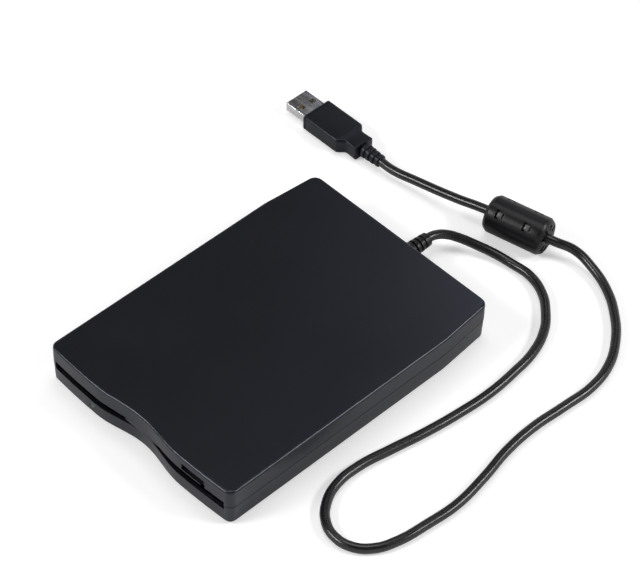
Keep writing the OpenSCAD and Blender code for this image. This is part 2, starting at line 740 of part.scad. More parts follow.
module disk_holder() color("#9a9da3") difference() {
    union() {
        block(-holder_hw, holder_hw, side_front, holder_back, holder_top - holder_t, holder_top);
        both_sides() block(holder_hw - holder_t, holder_hw, side_front, holder_back, lip_z, holder_top);
        both_sides() block(holder_hw - 4.6, holder_hw, side_front, holder_back, lip_z, lip_z + holder_t);
        // Guide pins through the slide plate and the frame
        for (y = pin_y) both_sides() axle_x(holder_hw - e, frame_hw + 0.3, y, pin_z, guide_pin_d);
    }
    // Head window, open at the rear
    block(-9, 9, head_y - 19, holder_back + 1, holder_top - 1, holder_top + 1);
    // Hub window
    post(0, hub_y, holder_top - 1, holder_top + 1, hub_d + 2);
    // Slits that free two leaf springs
    both_sides() translate([leaf_x, hub_y, holder_top - 1]) for (d = [-leaf_w / 2, leaf_w / 2])
        block(d - leaf_slit / 2, d + leaf_slit / 2, 0, leaf_l, 0, 2);
    both_sides() block(leaf_x - leaf_w / 2 - leaf_slit / 2, leaf_x + leaf_w / 2 + leaf_slit / 2,
          hub_y + leaf_l - leaf_slit, hub_y + leaf_l, holder_top - 1, holder_top + 1);
    // Arc slot for the shutter lever's finger
    translate([lever_x, lever_y, holder_top - 1]) rotate(lever_rest)
        rotate_extrude(angle = lever_swing) translate([lever_l - 1.4, 0]) square([2.8, 2]);
    for (a = [lever_rest, lever_rest + lever_swing])
        post(lever_x + lever_l * cos(a), lever_y + lever_l * sin(a), holder_top - 1, holder_top + 1, 2.8);
    // Bore for the lever's post
    post(lever_x, lever_y, holder_top - 1, holder_top + 1, lever_post_d);
    // Finger notch at the front
    block(-12, 12, side_front - 1, side_front + 8, holder_top - 1, holder_top + 1);
}

lever_post_d = 2;

module lever_post() color("#c8cacd")
    translate([lever_x, lever_y, 0]) rotate_extrude() polygon([
        [0, holder_top - holder_t], [lever_post_d / 2, holder_top - holder_t],
        [lever_post_d / 2, holder_top], [1.6, holder_top], [1.6, lever_z - pin_gap],
        [lever_post_d / 2, lever_z - pin_gap], [lever_post_d / 2, lever_z + lever_t + pin_gap],
        [1.5, lever_z + lever_t + pin_gap], [1.5, lever_z + lever_t + 0.3], [0, lever_z + lever_t + 0.3]]);

module shutter_lever() color("#84878d") translate([lever_x, lever_y, 0]) rotate(lever_rest) {
    difference() {
        translate([0, 0, lever_z]) linear_extrude(lever_t) {
            circle(d = 6);
            polygon([[0, -3], [lever_l, -lever_tip_d / 2], [lever_l, lever_tip_d / 2], [0, 3]]);
            translate([lever_l, 0]) circle(d = lever_tip_d);
        }
        translate([0, 0, lever_z - 1]) cylinder(d = lever_post_d + 2 * pin_gap, h = 3);
    }
    post(lever_l, 0, holder_top - 2, lever_z + e, finger_d);
}

// =====================================================================
// Spindle
// =====================================================================

rotor_top = disk_run_z - 0.5;
rotor_t = 0.7;
rotor_low = base_z + 0.4;
hub_top = disk_run_z + 1.1;
rotor_wall = 1;
bearing_d = 8;
drive_pin_r = hub_d / 2 - 2.4;

module spindle_rotor() color("#c9cbce") translate([0, hub_y, 0]) {
    rotate_extrude() polygon([
        [0, board_z + 0.1], [shaft_d / 2, board_z + 0.1], [shaft_d / 2, rotor_top - rotor_t],
        [rotor_d / 2 - rotor_wall, rotor_top - rotor_t], [rotor_d / 2 - rotor_wall, rotor_low],
        [rotor_d / 2, rotor_low], [rotor_d / 2, rotor_top - 0.3], [rotor_d / 2 - 0.3, rotor_top],
        [hub_d / 2, rotor_top], [hub_d / 2, hub_top - 0.3], [hub_d / 2 - 0.3, hub_top],
        [shaft_d / 2, hub_top], [shaft_d / 2, hub_top + 0.7], [shaft_d / 2 - 0.4, hub_top + 1],
        [0, hub_top + 1]]);
    post(drive_pin_r, 0, hub_top - e, hub_top + 0.9, 2.2);
}

module magnet_ring() color("#4a4b50") translate([0, hub_y, 0]) difference() {
    post(0, 0, rotor_low + 0.1, rotor_top - rotor_t, rotor_d - 2 * rotor_wall);
    post(0, 0, rotor_low - 1, rotor_top + 1, rotor_d - 2 * rotor_wall - 2.4);
}

stator_d = rotor_d - 2 * rotor_wall - 2.4 - 1;

stator_h = rotor_top - rotor_t - 0.4 - base_z;

module stator() color("#b5713a") translate([0, hub_y, base_z]) {
    difference() {
        cylinder(d = 14, h = stator_h - 0.3);
        translate([0, 0, -1]) cylinder(d = bearing_d + 0.2, h = stator_h + 2);
    }
    for (i = [0:poles - 1]) rotate(360 * i / poles) {
        block(6.8, stator_d / 2 - 1.2, -1.2, 1.2, 0, stator_h - 0.1);
        block(8.4, stator_d / 2 - 2.2, -1.7, 1.7, 0, stator_h);
        block(stator_d / 2 - 1.4, stator_d / 2 - 0.4, -2.6, 2.6, 0, stator_h - 0.3);
    }
}

module spindle_bearing() color("#c7a24a") translate([0, hub_y, 0]) difference() {
    union() {
        post(0, 0, base_z, rotor_top - rotor_t - 0.1, bearing_d);
        post(0, 0, board_z, base_z + e, 6);
    }
    post(0, 0, board_z - 1, rotor_top + 1, shaft_d + 2 * pin_gap);
}

spindle_board_r = rotor_d / 2 + 8.5;

module spindle_board() color("#274a35") difference() {
    union() {
        translate([0, hub_y, board_z]) rotate(22.5)
            cylinder(r = spindle_board_r / cos(22.5), h = board_t, $fn = 8);
        block(lens_x - 3, lens_x + 3, lens_back, hub_y - spindle_board_r / 2, board_z, base_z);
    }
    post(0, hub_y, board_z - 1, base_z + 1, 6);
}

// =====================================================================
// Heads
// =====================================================================

carriage_back = tower_y + tower_l;

module head_carriage() color("#3c3d42") difference() {
    union() {
        // Nose under the disk
        translate([0, 0, nose_z]) linear_extrude(nose_t) polygon([
            [-3.2, head_y - 2.4], [3.2, head_y - 2.4], [6, head_y + 6], [9, tower_y + 1],
            [-9, tower_y + 1], [-6, head_y + 6]]);
        // Tower
        block(-12, 26, tower_y, carriage_back, nose_z, rod_z + 3);
        block(-8, 8, tower_y, carriage_back, nose_z, tower_top);
        // Yoke on the lead screw
        block(stepper_x - 2.6, -11, tower_y, tower_y + yoke_l, stepper_z - 2.6, stepper_z + 2.2);
        // Ears for the arm's pin
        for (x = [-6.9, 6.9])
            block(x - 1, x + 1, arm_y - 1.4, arm_y + 1.4, tower_top - e, arm_z + 1.2);
    }
    axle_y(tower_y - 1, carriage_back + 1, rod_x, rod_z, rod_d + 2 * pin_gap);
    axle_y(tower_y - 1, tower_y + 4, stepper_x, stepper_z, screw_d + 2 * pin_gap);
    axle_x(-10, 10, arm_y, arm_z, arm_pin_d + 2 * pin_gap);
    // Weight-saving pocket between the tower and the rod
    block(10, 16, tower_y + 2, carriage_back - 2, nose_z + 2, rod_z + 4);
}

head_w = 3.2;
head_l = 3.2;

module lower_head() color("#6b6258") {
    block(-head_w / 2, head_w / 2, head_y - head_l / 2, head_y + head_l / 2, nose_z + nose_t, media_z - 0.05);
}

arm_low = holder_top + 1.65;
arm_t = 1;
arm_swing = asin(head_lift / arm_l);

module head_arm() color("#3c3d42") difference() {
    union() {
        translate([0, 0, arm_low]) linear_extrude(arm_t) polygon([
            [-2.6, head_y - 2.4], [2.6, head_y - 2.4], [4.5, head_y + 8], [5.7, arm_y - 4], [5.7, arm_y + 2],
            [-5.7, arm_y + 2], [-5.7, arm_y - 4], [-4.5, head_y + 8]]);
        block(-5.7, 5.7, arm_y - 1.2, arm_y + 1.2, arm_z - 0.7, arm_low + e);
    }
    axle_x(-10, 10, arm_y, arm_z, arm_pin_d + 2 * pin_gap);
    translate([0, 0, arm_low - 1]) linear_extrude(arm_t + 2)
        slot_shape([0, head_y + 9], [0, arm_y - 7], 3.6);
}

// The slider's face is level once the arm has swung down onto the disk
module upper_head() color("#6b6258") {
    rise = head_l / 2 * tan(arm_swing);
    face = media_z + head_lift + 0.1;
    along_x(-head_w / 2, head_w / 2) polygon([
        [head_y - head_l / 2, face + rise], [head_y + head_l / 2, face - rise],
        [head_y + head_l / 2, arm_low], [head_y - head_l / 2, arm_low]]);
}

flex_t = 0.15;
flex_x = [-5, 3];

module head_flex() color("#b07a35") {
    y = carriage_back + 0.05;
    block(flex_x[0], flex_x[1], y, y + flex_t, base_z, base_z + 7);
    block(flex_x[0], flex_x[1], y, y + 2.4, base_z, base_z + flex_t);
}

module lead_screw() color("#c9cbce") {
    axle_y(bracket_y + 0.1, stepper_y + 0.5, stepper_x, stepper_z, screw_d);
}

module guide_rod() color("#d2d4d7") {
    axle_y(bracket_y + 0.05, frame_back + 0.1, rod_x, rod_z, rod_d);
}

module stepper_motor() color("#8b8e93") difference() {
    union() {
        translate([stepper_x, stepper_y, stepper_z]) rotate([-90, 0, 0]) rotate_extrude() polygon([
            [0, 0], [stepper_d / 2, 0], [stepper_d / 2, stepper_l - 1.2],
            [stepper_d / 2 - 0.5, stepper_l - 0.7], [2, stepper_l - 0.7], [2, stepper_l], [0, stepper_l]]);
        block(stepper_x - 6.5, stepper_x + 6.5, stepper_y, stepper_y + 0.8, stepper_z - 3, stepper_z + 3);
        // Terminal block on top
        block(stepper_x - 3.2, stepper_x + 3.2, stepper_y + 2.5, stepper_y + stepper_l - 2,
              stepper_z, stepper_z + stepper_d / 2 + 1);
    }
    axle_y(stepper_y - 1, stepper_y + 2, stepper_x, stepper_z, screw_d + 2 * pin_gap);
}

// =====================================================================
// Boards and switches
// =====================================================================

switch_x = disk_w / 2 - 6.5;
switch_spots = [[-switch_x, disk_lead - 69], [switch_x, disk_lead - 69], [-switch_x, disk_lead - 55]];
switch_body_t = 1.2;
plunger_d = 1.6;

module switch_bodies() color("#1f2023") for (s = switch_spots) translate([s[0], s[1], 0]) difference() {
    union() {
        block(-2.4, 2.4, -2.4, 2.4, base_top, base_top + switch_body_t);
        post(0, 0, base_z, base_top + e, 1.1);
    }
    post(0, 0, base_top + 0.1, base_top + 3, plunger_d + 2 * pin_gap);
}

module plunger(s) color("#d9d4c4") translate([s[0], s[1], 0]) rotate_extrude() polygon([
    [0, base_top + 0.1 + switch_travel], [plunger_d / 2, base_top + 0.1 + switch_travel],
    [plunger_d / 2, disk_run_z + switch_travel - 0.3], [plunger_d / 2 - 0.3, disk_run_z + switch_travel],
    [0, disk_run_z + switch_travel]]);

module protect_plunger() plunger(switch_spots[0]);
module density_plunger() plunger(switch_spots[1]);
module disk_plunger() plunger(switch_spots[2]);

board_hw = frame_hw - 2.55;

module controller_board() color("#274a35") difference() {
    union() {
        block(-board_hw, board_hw, disk_lead + 1, frame_back - 3, board_z, base_z);
        block(-13, 13, frame_back - 4, frame_back + 2.4, board_z, base_z);
        // Strip that joins it to the spindle board
        block(-4, 4, hub_y + spindle_board_r, disk_lead + 1 + e, board_z, board_z + 0.15);
    }
    both_sides() post(frame_screw_x, frame_screw_y[1], board_z - 1, base_z + 1, 6.4);
}

// A flat chip with leads on two sides
module chip(x, y, z, w, l, h, leads) {
    block(x - w / 2, x + w / 2, y - l / 2, y + l / 2, z, z + h);
    for (i = [0:leads - 1]) let (ly = y - l / 2 + l * (i + 0.5) / leads)
        block(x - w / 2 - 0.6, x + w / 2 + 0.6, ly - 0.15, ly + 0.15, z, z + 0.3);
}

module board_chips() color("#18181b") {
    chip(-8, disk_lead + 10, base_z, 9, 8, 1.1, 8);
    chip(6, disk_lead + 9, base_z, 7, 5, 1.1, 6);
    chip(4.5 - board_hw, frame_back - 7.5, base_z, 4, 5, 1, 4);
    chip(board_hw - 9, frame_back - 8, base_z, 7, 5, 1.1, 6);
    // Socket that bridges the foot of the heads' ribbon, and a crystal
    difference() {
        block(flex_x[0] - 1.4, flex_x[1] + 1.4, carriage_back + 0.7, frame_back - 1.6, base_z, base_z + 1.5);
        block(flex_x[0] - 0.1, flex_x[1] + 0.1, carriage_back, frame_back, base_z - 1, base_z + flex_t + 0.1);
    }
    block(-17.4, -15, disk_lead + 6, disk_lead + 13, base_z, base_z + 1.2);
}

interface_z = base_z + 1.4;
interface_y = back_y - 6.4;
interface_pegs = [-24, 20];
peg_d = 1.6;

module interface_board() color("#274a35") difference() {
    block(-28, 24, frame_back + 0.9, relief_inner_y - 0.3, interface_z, interface_z + 1);
    for (x = interface_pegs) post(x, interface_y, interface_z - 1, interface_z + 2, peg_d + 2 * pin_gap);
}

module interface_parts() color("#1b1b1e") {
    chip(-12, interface_y - 0.4, interface_z + 1, 7, 5, 1, 8);
    block(-19.5, -17, interface_y - 2.6, interface_y + 1.9, interface_z + 1, interface_z + 2.2);
    block(-12, 12, frame_back + 1, frame_back + 2.3, base_z, interface_z);
    block(exit_x - 3, exit_x + 3, wire_socket_y - 2, wire_socket_y, interface_z + 1, interface_z + 3.2);
}

wire_d = 0.9;
wire_pitch = 1.15;
wire_socket_y = interface_y - 0.2;

// Four wires from the strain relief's inner end down into their socket
module cord_wires() color("#b03a34") for (i = [0:3]) let (x = exit_x + (i - 1.5) * wire_pitch)
    tube([[x, relief_inner_y, exit_z], [x, relief_inner_y - 0.6, exit_z],
          [x, wire_socket_y + 1, interface_z + 2.4], [x, wire_socket_y, interface_z + 2.4]], wire_d, 6);

// =====================================================================
// Cord, ferrite and plug
// =====================================================================

relief_flange_d = 8.4;
relief_seat_y = back_y - inner_bottom - 0.1;
relief_inner_y = relief_seat_y - 1.4;
relief_tip_y = back_y + relief_l;
relief_tip_d = 6;
relief_rings = 4;

// Tapered relief with ring grooves, turned about the cord's axis
module strain_relief() color("#141417") translate([exit_x, 0, exit_z]) rotate([-90, 0, 0]) difference() {
    rotate_extrude() polygon([
        [0, relief_inner_y], [relief_flange_d / 2, relief_inner_y],
        [relief_flange_d / 2, relief_seat_y], [relief_neck_d / 2, relief_seat_y],
        [relief_neck_d / 2, back_y + 0.1], [relief_d / 2, back_y + 0.1], [relief_d / 2, back_y + 1.6],
        [relief_tip_d / 2, relief_tip_y - 0.4], [relief_tip_d / 2 - 0.4, relief_tip_y], [0, relief_tip_y]]);
    for (i = [0:relief_rings - 1]) translate([0, 0, back_y + 3 + i * (relief_l - 4.5) / relief_rings])
        rotate_extrude() translate([cord_d / 2 + 0.5, 0]) square([4, 1.1]);
}

cord_r = cord_d / 2;
ferrite_c = [exit_x + 19.5, relief_tip_y + 33.5, ferrite_d / 2];
ferrite_turn = 13;
plug_tip = [exit_x - 48, relief_tip_y + 21.5];
plug_relief_l = 15.5;
neck_w = 10.6;
neck_l = 5;
collar_flare = 0.9;
plug_front_x = plug_tip[0] - plug_relief_l + 1 - neck_l - plug_l;
plug_z = plug_h / 2;

// Middle line of the cord from the strain relief to the plug's relief. Each bend is given from
// the relief's tip, with its height as a share of the way up to where the cord hangs from.
cord_drop = [
    [0, 1.5, 1], [0.8, 4.5, 0.97], [3, 8, 0.87], [7.5, 11.8, 0.65], [13.5, 15.2, 0.38], [20.5, 18.2, 0.15]];
cord_lay = [
    [28.5, 20], [38.5, 20.5], [48.5, 17], [56.5, 10.5], [63, 2.5], [68, -9.5], [70, -22.5], [71, -37.5],
    [70, -53.5], [68, -69.5], [65, -85.5], [62.5, -100.5], [63, -112.5], [67, -122], [73.5, -128.5],
    [81, -131], [88.5, -129.5], [94.5, -124], [98, -115.5], [100, -101.5], [101, -86.5], [99, -70.5],
    [95.5, -52.5], [94.5, -37.5], [95.5, -20.5], [96, -5.5], [93, 7.5], [86, 19.5], [76.5, 29.5]];
cord_rise = [[65, 37.5, 0.03], [53.5, 41.3, 0.24], [43.5, 41.5, 0.62]];
cord_fall = [[-9.5, 27, 0.74], [-29.5, 23.5, 0.42]];

function bends(list, top) =
    [for (p = list) [exit_x + p[0], relief_tip_y + p[1], cord_r + (top - cord_r) * (len(p) > 2 ? p[2] : 0)]];

ferrite_dir = [cos(ferrite_turn), sin(ferrite_turn), 0];
ferrite_half = ferrite_l / 2 + 3;
cord_points = concat(
    [[exit_x, relief_tip_y, exit_z]],
    bends(cord_drop, exit_z), bends(cord_lay, 0), bends(cord_rise, ferrite_c[2]),
    [ferrite_c + ferrite_half * ferrite_dir, ferrite_c - ferrite_half * ferrite_dir],
    bends(cord_fall, ferrite_c[2]),
    [[plug_tip[0] + 6.5, plug_tip[1], plug_z], [plug_tip[0], plug_tip[1], plug_z]]);

module usb_cord() color("#17171b") tube(cord_points, cord_d, 10);

// Places its children, drawn along +X about the origin, on the ferrite's middle line
module at_ferrite() translate(ferrite_c) rotate(ferrite_turn) children();

core_d = ferrite_d - 2 * ferrite_wall - 0.4;
core_l = ferrite_l - 6;
hook_x = ferrite_l / 2 - 7.35;
window_a = 40;

module half_shell() {
    r = ferrite_d / 2;
    l = ferrite_l / 2;
    rotate([0, 90, 0]) rotate([0, 0, 90]) rotate_extrude(angle = 180) difference() {
        polygon([
            [cord_d / 2 + 0.15, -l], [r - 2.6, -l], [r - 1, -l + 0.6], [r, -l + 2.2],
            [r, l - 2.2], [r - 1, l - 0.6], [r - 2.6, l], [cord_d / 2 + 0.15, l]]);
        translate([0, -core_l / 2 - 0.1]) square([core_d / 2 + 0.15, core_l + 0.2]);
    }
}

// Spokes of the split end walls
module end_notches() {
    for (x = [-1, 1]) for (a = [30:40:150]) rotate([a - 90, 0, 0])
        translate([x * (ferrite_l / 2 - 0.7) - 1.2, -0.6, cord_d / 2 + 1.4])
            cube([2.4, 1.2, ferrite_d / 2 - cord_d / 2 - 3.4]);
}

module ferrite_upper() color("#1c1c20") at_ferrite() difference() {
    half_shell();
    end_notches();
    // Windows that the lower half's hooks catch in
    for (x = [-hook_x, hook_x]) for (s = [-1, 1]) rotate([s * window_a, 0, 0])
        translate([x - 2, -1.9, ferrite_d / 2 - 3]) cube([4, 3.8, 6]);
}

module ferrite_lower() color("#1a1a1e") at_ferrite() {
    difference() {
        mirror([0, 0, 1]) half_shell();
        mirror([0, 0, 1]) end_notches();
    }
}

module ferrite_core() color("#3b3d42") at_ferrite() for (s = [0, 1]) mirror([0, 0, s])
    translate([0, 0, 0.05]) rotate([0, 90, 0]) rotate([0, 0, 90]) rotate_extrude(angle = 180)
        translate([cord_d / 2 + 0.5, -core_l / 2]) square([core_d / 2 - cord_d / 2 - 0.5, core_l]);

// Half width of the overmould a share t of the way down its shoulders to the collar
function shoulder(t, w, n) = n + (w - n) * pow(1 - t, 2) * (1 + t) + collar_flare * (pow(t, 4) - t * t / 2);

// Plan of the plug's overmould, drawn in by i
function plug_plan(i) = let (x0 = plug_front_x + i, x1 = plug_front_x + plug_l - i, y = plug_tip[1],
    w = plug_w / 2 - i, n = neck_w / 2 - i) concat(
        arc(x0 + 1.4, y - w + 1.4, 1.4, 180, 270, 4),
        [for (t = [0:0.125:1]) [x1 + t * neck_l, y - shoulder(t, w, n)]],
        [for (t = [1:-0.125:0]) [x1 + t * neck_l, y + shoulder(t, w, n)]],
        arc(x0 + 1.4, y + w - 1.4, 1.4, 90, 180, 4));

module plug_slab() loft([
    [0, plug_plan(1)], [0.3, plug_plan(0.35)], [0.9, plug_plan(0)],
    [plug_h - 0.9, plug_plan(0)], [plug_h - 0.3, plug_plan(0.35)], [plug_h, plug_plan(1)]],
    mirror_cap(len(plug_plan(0))));

module plug_body() color("#1b1b1f") {
    difference() {
        plug_slab();
        block(plug_front_x - 1, plug_front_x + 8, plug_tip[1] - shell_w / 2, plug_tip[1] + shell_w / 2,
              plug_z - shell_h / 2, plug_z + shell_h / 2);
    }
    // Ribbed relief, turned about the cord's axis
    x0 = plug_front_x + plug_l + neck_l - 1;
    l = plug_tip[0] - x0;
    translate([x0, plug_tip[1], plug_z]) rotate([0, 90, 0]) difference() {
        cylinder(d1 = plug_h - 0.2, d2 = 5.6, h = l);
        for (i = [0:3]) translate([0, 0, 3 + i * (l - 4) / 4])
            rotate_extrude() translate([cord_d / 2 + 0.6, 0]) square([4, 1.1]);
    }
}

shell_t = 0.3;

shell_fit = 0.02;
shell_round = 0.6;

// Section of the shell's outside, drawn in by i
module shell_profile(i) {
    w = shell_w / 2 - shell_fit - shell_round;
    h = shell_h / 2 - shell_fit - shell_round;
    translate([plug_tip[1], plug_z]) offset(r = shell_round - i, $fn = 24)
        square([2 * w, 2 * h], center = true);
}

module plug_shell() color("#c3c5c9") {
    x0 = plug_front_x - shell_l;
    x1 = plug_front_x + 7.8;
    difference() {
        along_x(x0, x1) shell_profile(0);
        along_x(x0 - 1, x1 + 1) shell_profile(shell_t);
        // Latch windows in the broad faces
        for (y = [plug_tip[1] - 3.1, plug_tip[1] + 3.1])
            block(x0 + 5.2, x0 + 7.7, y - 1.25, y + 1.25, plug_z - shell_h, plug_z + shell_h);
        // Seam along the underside
        block(x0 - 1, x1 + 1, plug_tip[1] - 0.04, plug_tip[1] + 0.04, plug_z - shell_h, plug_z);
    }
}

tongue_t = 1.9;

module plug_tongue() color("#ece9e0") {
    x0 = plug_front_x - shell_l + 0.6;
    h = shell_h / 2 - shell_fit - shell_t;
    w = shell_w / 2 - shell_fit - shell_t;
    intersection() {
        union() {
            block(x0, plug_front_x + 7.6, plug_tip[1] - w + 0.1, plug_tip[1] + w - 0.1,
                  plug_z - h, plug_z - h + tongue_t);
            block(plug_front_x - 1, plug_front_x + 7.6, plug_tip[1] - w, plug_tip[1] + w,
                  plug_z - h, plug_z + h);
        }
        along_x(x0 - 1, plug_front_x + 9) shell_profile(shell_t);
    }
}

module plug_contacts() color("#d4b25a") {
    z = plug_z - shell_h / 2 + shell_fit + shell_t + tongue_t;
    for (c = [[-3.5, 1], [-1, 2], [1, 2], [3.5, 1]])
        block(plug_front_x - shell_l + 0.6 + c[1], plug_front_x - 1, plug_tip[1] + c[0] - 0.5,
              plug_tip[1] + c[0] + 0.5, z, z + 0.15);
}

top_cover();
bottom_cover();
rubber_feet();
case_screws();
status_lens();
status_light();
slot_door();
door_spring();
eject_button();
slide_plate();
slide_springs();
drive_frame();
frame_lid();
disk_holder();
shutter_lever();
lever_post();
spindle_board();
stator();
spindle_bearing();
spindle_rotor();
magnet_ring();
stepper_motor();
lead_screw();
guide_rod();
head_carriage();
lower_head();
head_arm();
upper_head();
head_flex();
controller_board();
board_chips();
switch_bodies();
protect_plunger();
density_plunger();
disk_plunger();
interface_board();
interface_parts();
cord_wires();
strain_relief();
usb_cord();
ferrite_upper();
ferrite_lower();
ferrite_core();
plug_body();
plug_shell();
plug_tongue();
plug_contacts();
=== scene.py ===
# Looks of the external floppy disk drive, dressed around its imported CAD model.
# Blender works in metres, in the CAD's own frame: front -Y, up +Z, origin on the surface it stands on.
# The object's own sizes and places are written in millimetres; MM and mm() turn them into metres.
import math

import bpy
from mathutils import Matrix, Vector


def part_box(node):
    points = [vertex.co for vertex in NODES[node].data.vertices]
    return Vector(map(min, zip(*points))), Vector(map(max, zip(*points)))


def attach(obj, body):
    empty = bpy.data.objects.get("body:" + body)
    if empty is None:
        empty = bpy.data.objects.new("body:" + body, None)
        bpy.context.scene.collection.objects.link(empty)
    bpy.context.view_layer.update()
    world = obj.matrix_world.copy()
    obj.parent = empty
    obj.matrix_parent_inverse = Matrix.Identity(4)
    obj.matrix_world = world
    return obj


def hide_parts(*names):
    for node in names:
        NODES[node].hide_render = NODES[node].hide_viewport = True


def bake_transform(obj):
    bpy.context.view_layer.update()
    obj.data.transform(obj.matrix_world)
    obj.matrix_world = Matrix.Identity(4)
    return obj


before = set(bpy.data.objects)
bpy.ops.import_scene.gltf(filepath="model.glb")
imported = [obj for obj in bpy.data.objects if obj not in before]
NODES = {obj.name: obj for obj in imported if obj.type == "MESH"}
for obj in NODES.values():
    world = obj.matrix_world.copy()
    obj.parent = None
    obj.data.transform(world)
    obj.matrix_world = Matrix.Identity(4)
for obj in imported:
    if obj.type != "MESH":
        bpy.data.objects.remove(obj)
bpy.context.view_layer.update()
MM = 0.001
WHITE = (1, 1, 1)
# Edges that turn by more than this many degrees stay sharp
SHARP_ANGLE = 38


def mm(*values):
    """A point or size given in millimetres, in metres."""
    return tuple(v * MM for v in values)


def put(name, data):
    """A new object in the scene."""
    obj = bpy.data.objects.new(name, data)
    bpy.context.scene.collection.objects.link(obj)
    return obj


# ---- camera: where the photograph was taken from ----
AIM = mm(-7.43, 33.34, 10)
DISTANCE = 1.15003
AZIMUTH = 44.563
ELEVATION = 46.774
ROLL = 1.907
LENS_MM = 162.32
SENSOR_MM = 36
NEAREST = 0.01
FARTHEST = 50


def add_camera():
    """The camera looks at AIM from DISTANCE metres, turned by the angles above, in degrees."""
    data = bpy.data.cameras.new("camera")
    data.lens = LENS_MM
    data.sensor_width = SENSOR_MM
    data.clip_start = NEAREST
    data.clip_end = FARTHEST
    camera = put("camera", data)
    turn = (
        Matrix.Rotation(math.radians(AZIMUTH), 4, "Z")
        @ Matrix.Rotation(math.radians(90 - ELEVATION), 4, "X")
        @ Matrix.Rotation(math.radians(ROLL), 4, "Z")
    )
    back = turn @ Vector((0, 0, DISTANCE))
    camera.matrix_world = Matrix.Translation(Vector(AIM) + back) @ turn
    bpy.context.scene.camera = camera


add_camera()


# ---- node helpers ----
# Nearly all values of a noise lie in this range
MIDDLE = (0.3, 0.7)
# A slightly wider one, for stains and specks
STAINS = (0.3, 0.75)
WHOLE = (0.0, 1.0)


def shade(colour, factor):
    """The colour made darker or lighter by a factor."""
    return tuple(min(1.0, c * factor) for c in colour)


class Graph:
    """One material's node tree, with short calls for the nodes that it uses."""

    def __init__(self, name):
        self.material = bpy.data.materials.new(name)
        self.material.use_nodes = True
        self.tree = self.material.node_tree
        self.shader = self.tree.nodes["Principled BSDF"]
        self.output = self.tree.nodes["Material Output"]
        self.place = None

    def add(self, kind, **inputs):
        """A new node with its inputs fed; an input's name has underscores for its spaces."""
        node = self.tree.nodes.new(kind)
        for key, value in inputs.items():
            self.feed(node.inputs[key.replace("_", " ")], value)
        return node

    def feed(self, socket, value):
        """Link the socket to another one, or give it a constant."""
        if isinstance(value, bpy.types.NodeSocket):
            self.tree.links.new(value, socket)
        elif isinstance(value, (tuple, list)) and len(value) == 3 and socket.type == "RGBA":
            socket.default_value = (*value, 1)
        else:
            socket.default_value = value

    def set(self, **inputs):
        """Feed the shader's own sockets."""
        for key, value in inputs.items():
            self.feed(self.shader.inputs[key.replace("_", " ")], value)

    def where(self, stretch=(1, 1, 1)):
        """The object's own coordinates in metres, stretched along the axes."""
        if self.place is None:
            self.place = self.add("ShaderNodeTexCoord").outputs["Object"]
        node = self.add("ShaderNodeMapping", Vector=self.place)
        node.inputs["Scale"].default_value = stretch
        return node.outputs["Vector"]

    def noise(self, grain_mm, detail=2.0, stretch=(1, 1, 1)):
        """Soft noise whose largest spots are about one grain wide."""
        scale = 1 / (grain_mm * MM)
        node = self.add("ShaderNodeTexNoise", Vector=self.where(stretch), Scale=scale, Detail=detail)
        return node.outputs["Fac"]

    def cells(self, grain_mm):
        """Distance to the middle of the nearest cell, with cells about one grain wide."""
        node = self.add("ShaderNodeTexVoronoi", Vector=self.where(), Scale=1 / (grain_mm * MM))
        return node.outputs["Distance"]

    def stripes(self, pitch_mm, axis="X", distortion=0.0):
        """Waves along the axis. A wave of this node is pi / (10 * scale) units long."""
        scale = math.pi / 10 / (pitch_mm * MM)
        node = self.add("ShaderNodeTexWave", Vector=self.where(), Scale=scale, Distortion=distortion,
                        Detail=1.0)
        node.bands_direction = axis
        return node.outputs["Fac"]

    def remap(self, fac, low, high, span=WHOLE):
        """The value that runs from low to high while fac runs through the span."""
        node = self.add("ShaderNodeMapRange", Value=fac)
        for key, value in (("From Min", span[0]), ("From Max", span[1]), ("To Min", low), ("To Max", high)):
            node.inputs[key].default_value = value
        return node.outputs["Result"]

    def tones(self, fac, colour, low, high, span=MIDDLE):
        """The colour times a factor from low to high while fac runs through the span."""
        node = self.add("ShaderNodeValToRGB", Fac=fac)
        for element, place, factor in zip(node.color_ramp.elements, span, (low, high)):
            element.position = place
            element.color = (*shade(colour, factor), 1)
        return node.outputs["Color"]

    def math(self, operation, *values):
        """The result of one arithmetic step."""
        node = self.add("ShaderNodeMath")
        node.operation = operation
        for socket, value in zip(node.inputs, values):
            self.feed(socket, value)
        return node.outputs[0]

    def bump(self, height, depth_mm, strength=1.0, under=None):
        """Relief by the height, over the relief of another bump where one is given."""
        node = self.add("ShaderNodeBump", Height=height, Strength=strength, Distance=depth_mm * MM)
        if under is not None:
            self.feed(node.inputs["Normal"], under)
        return node.outputs["Normal"]


# ---- materials: grains, pitches and depths are in millimetres ----
def moulded(name, colour, rough=0.5, grain=0.35, depth=0.012, level=0.35, tint=WHITE, mottle=0.18,
            gloss_drift=0.05):
    """Injection-moulded plastic: fine spark texture, slow drift of gloss and a slight mottle of colour."""
    g = Graph(name)
    spark = g.noise(grain, detail=3.0)
    drift = g.noise(grain_mm=28)
    spark_on_drift = g.math("MULTIPLY_ADD", spark, 0.2, drift)
    g.set(
        Base_Color=g.tones(drift, colour, 1 - mottle, 1 + mottle),
        Roughness=g.remap(spark_on_drift, rough - gloss_drift, rough + gloss_drift, span=(0.3, 0.9)),
        Normal=g.bump(spark, depth),
        Specular_IOR_Level=level,
        Specular_Tint=tint,
    )
    return g.material


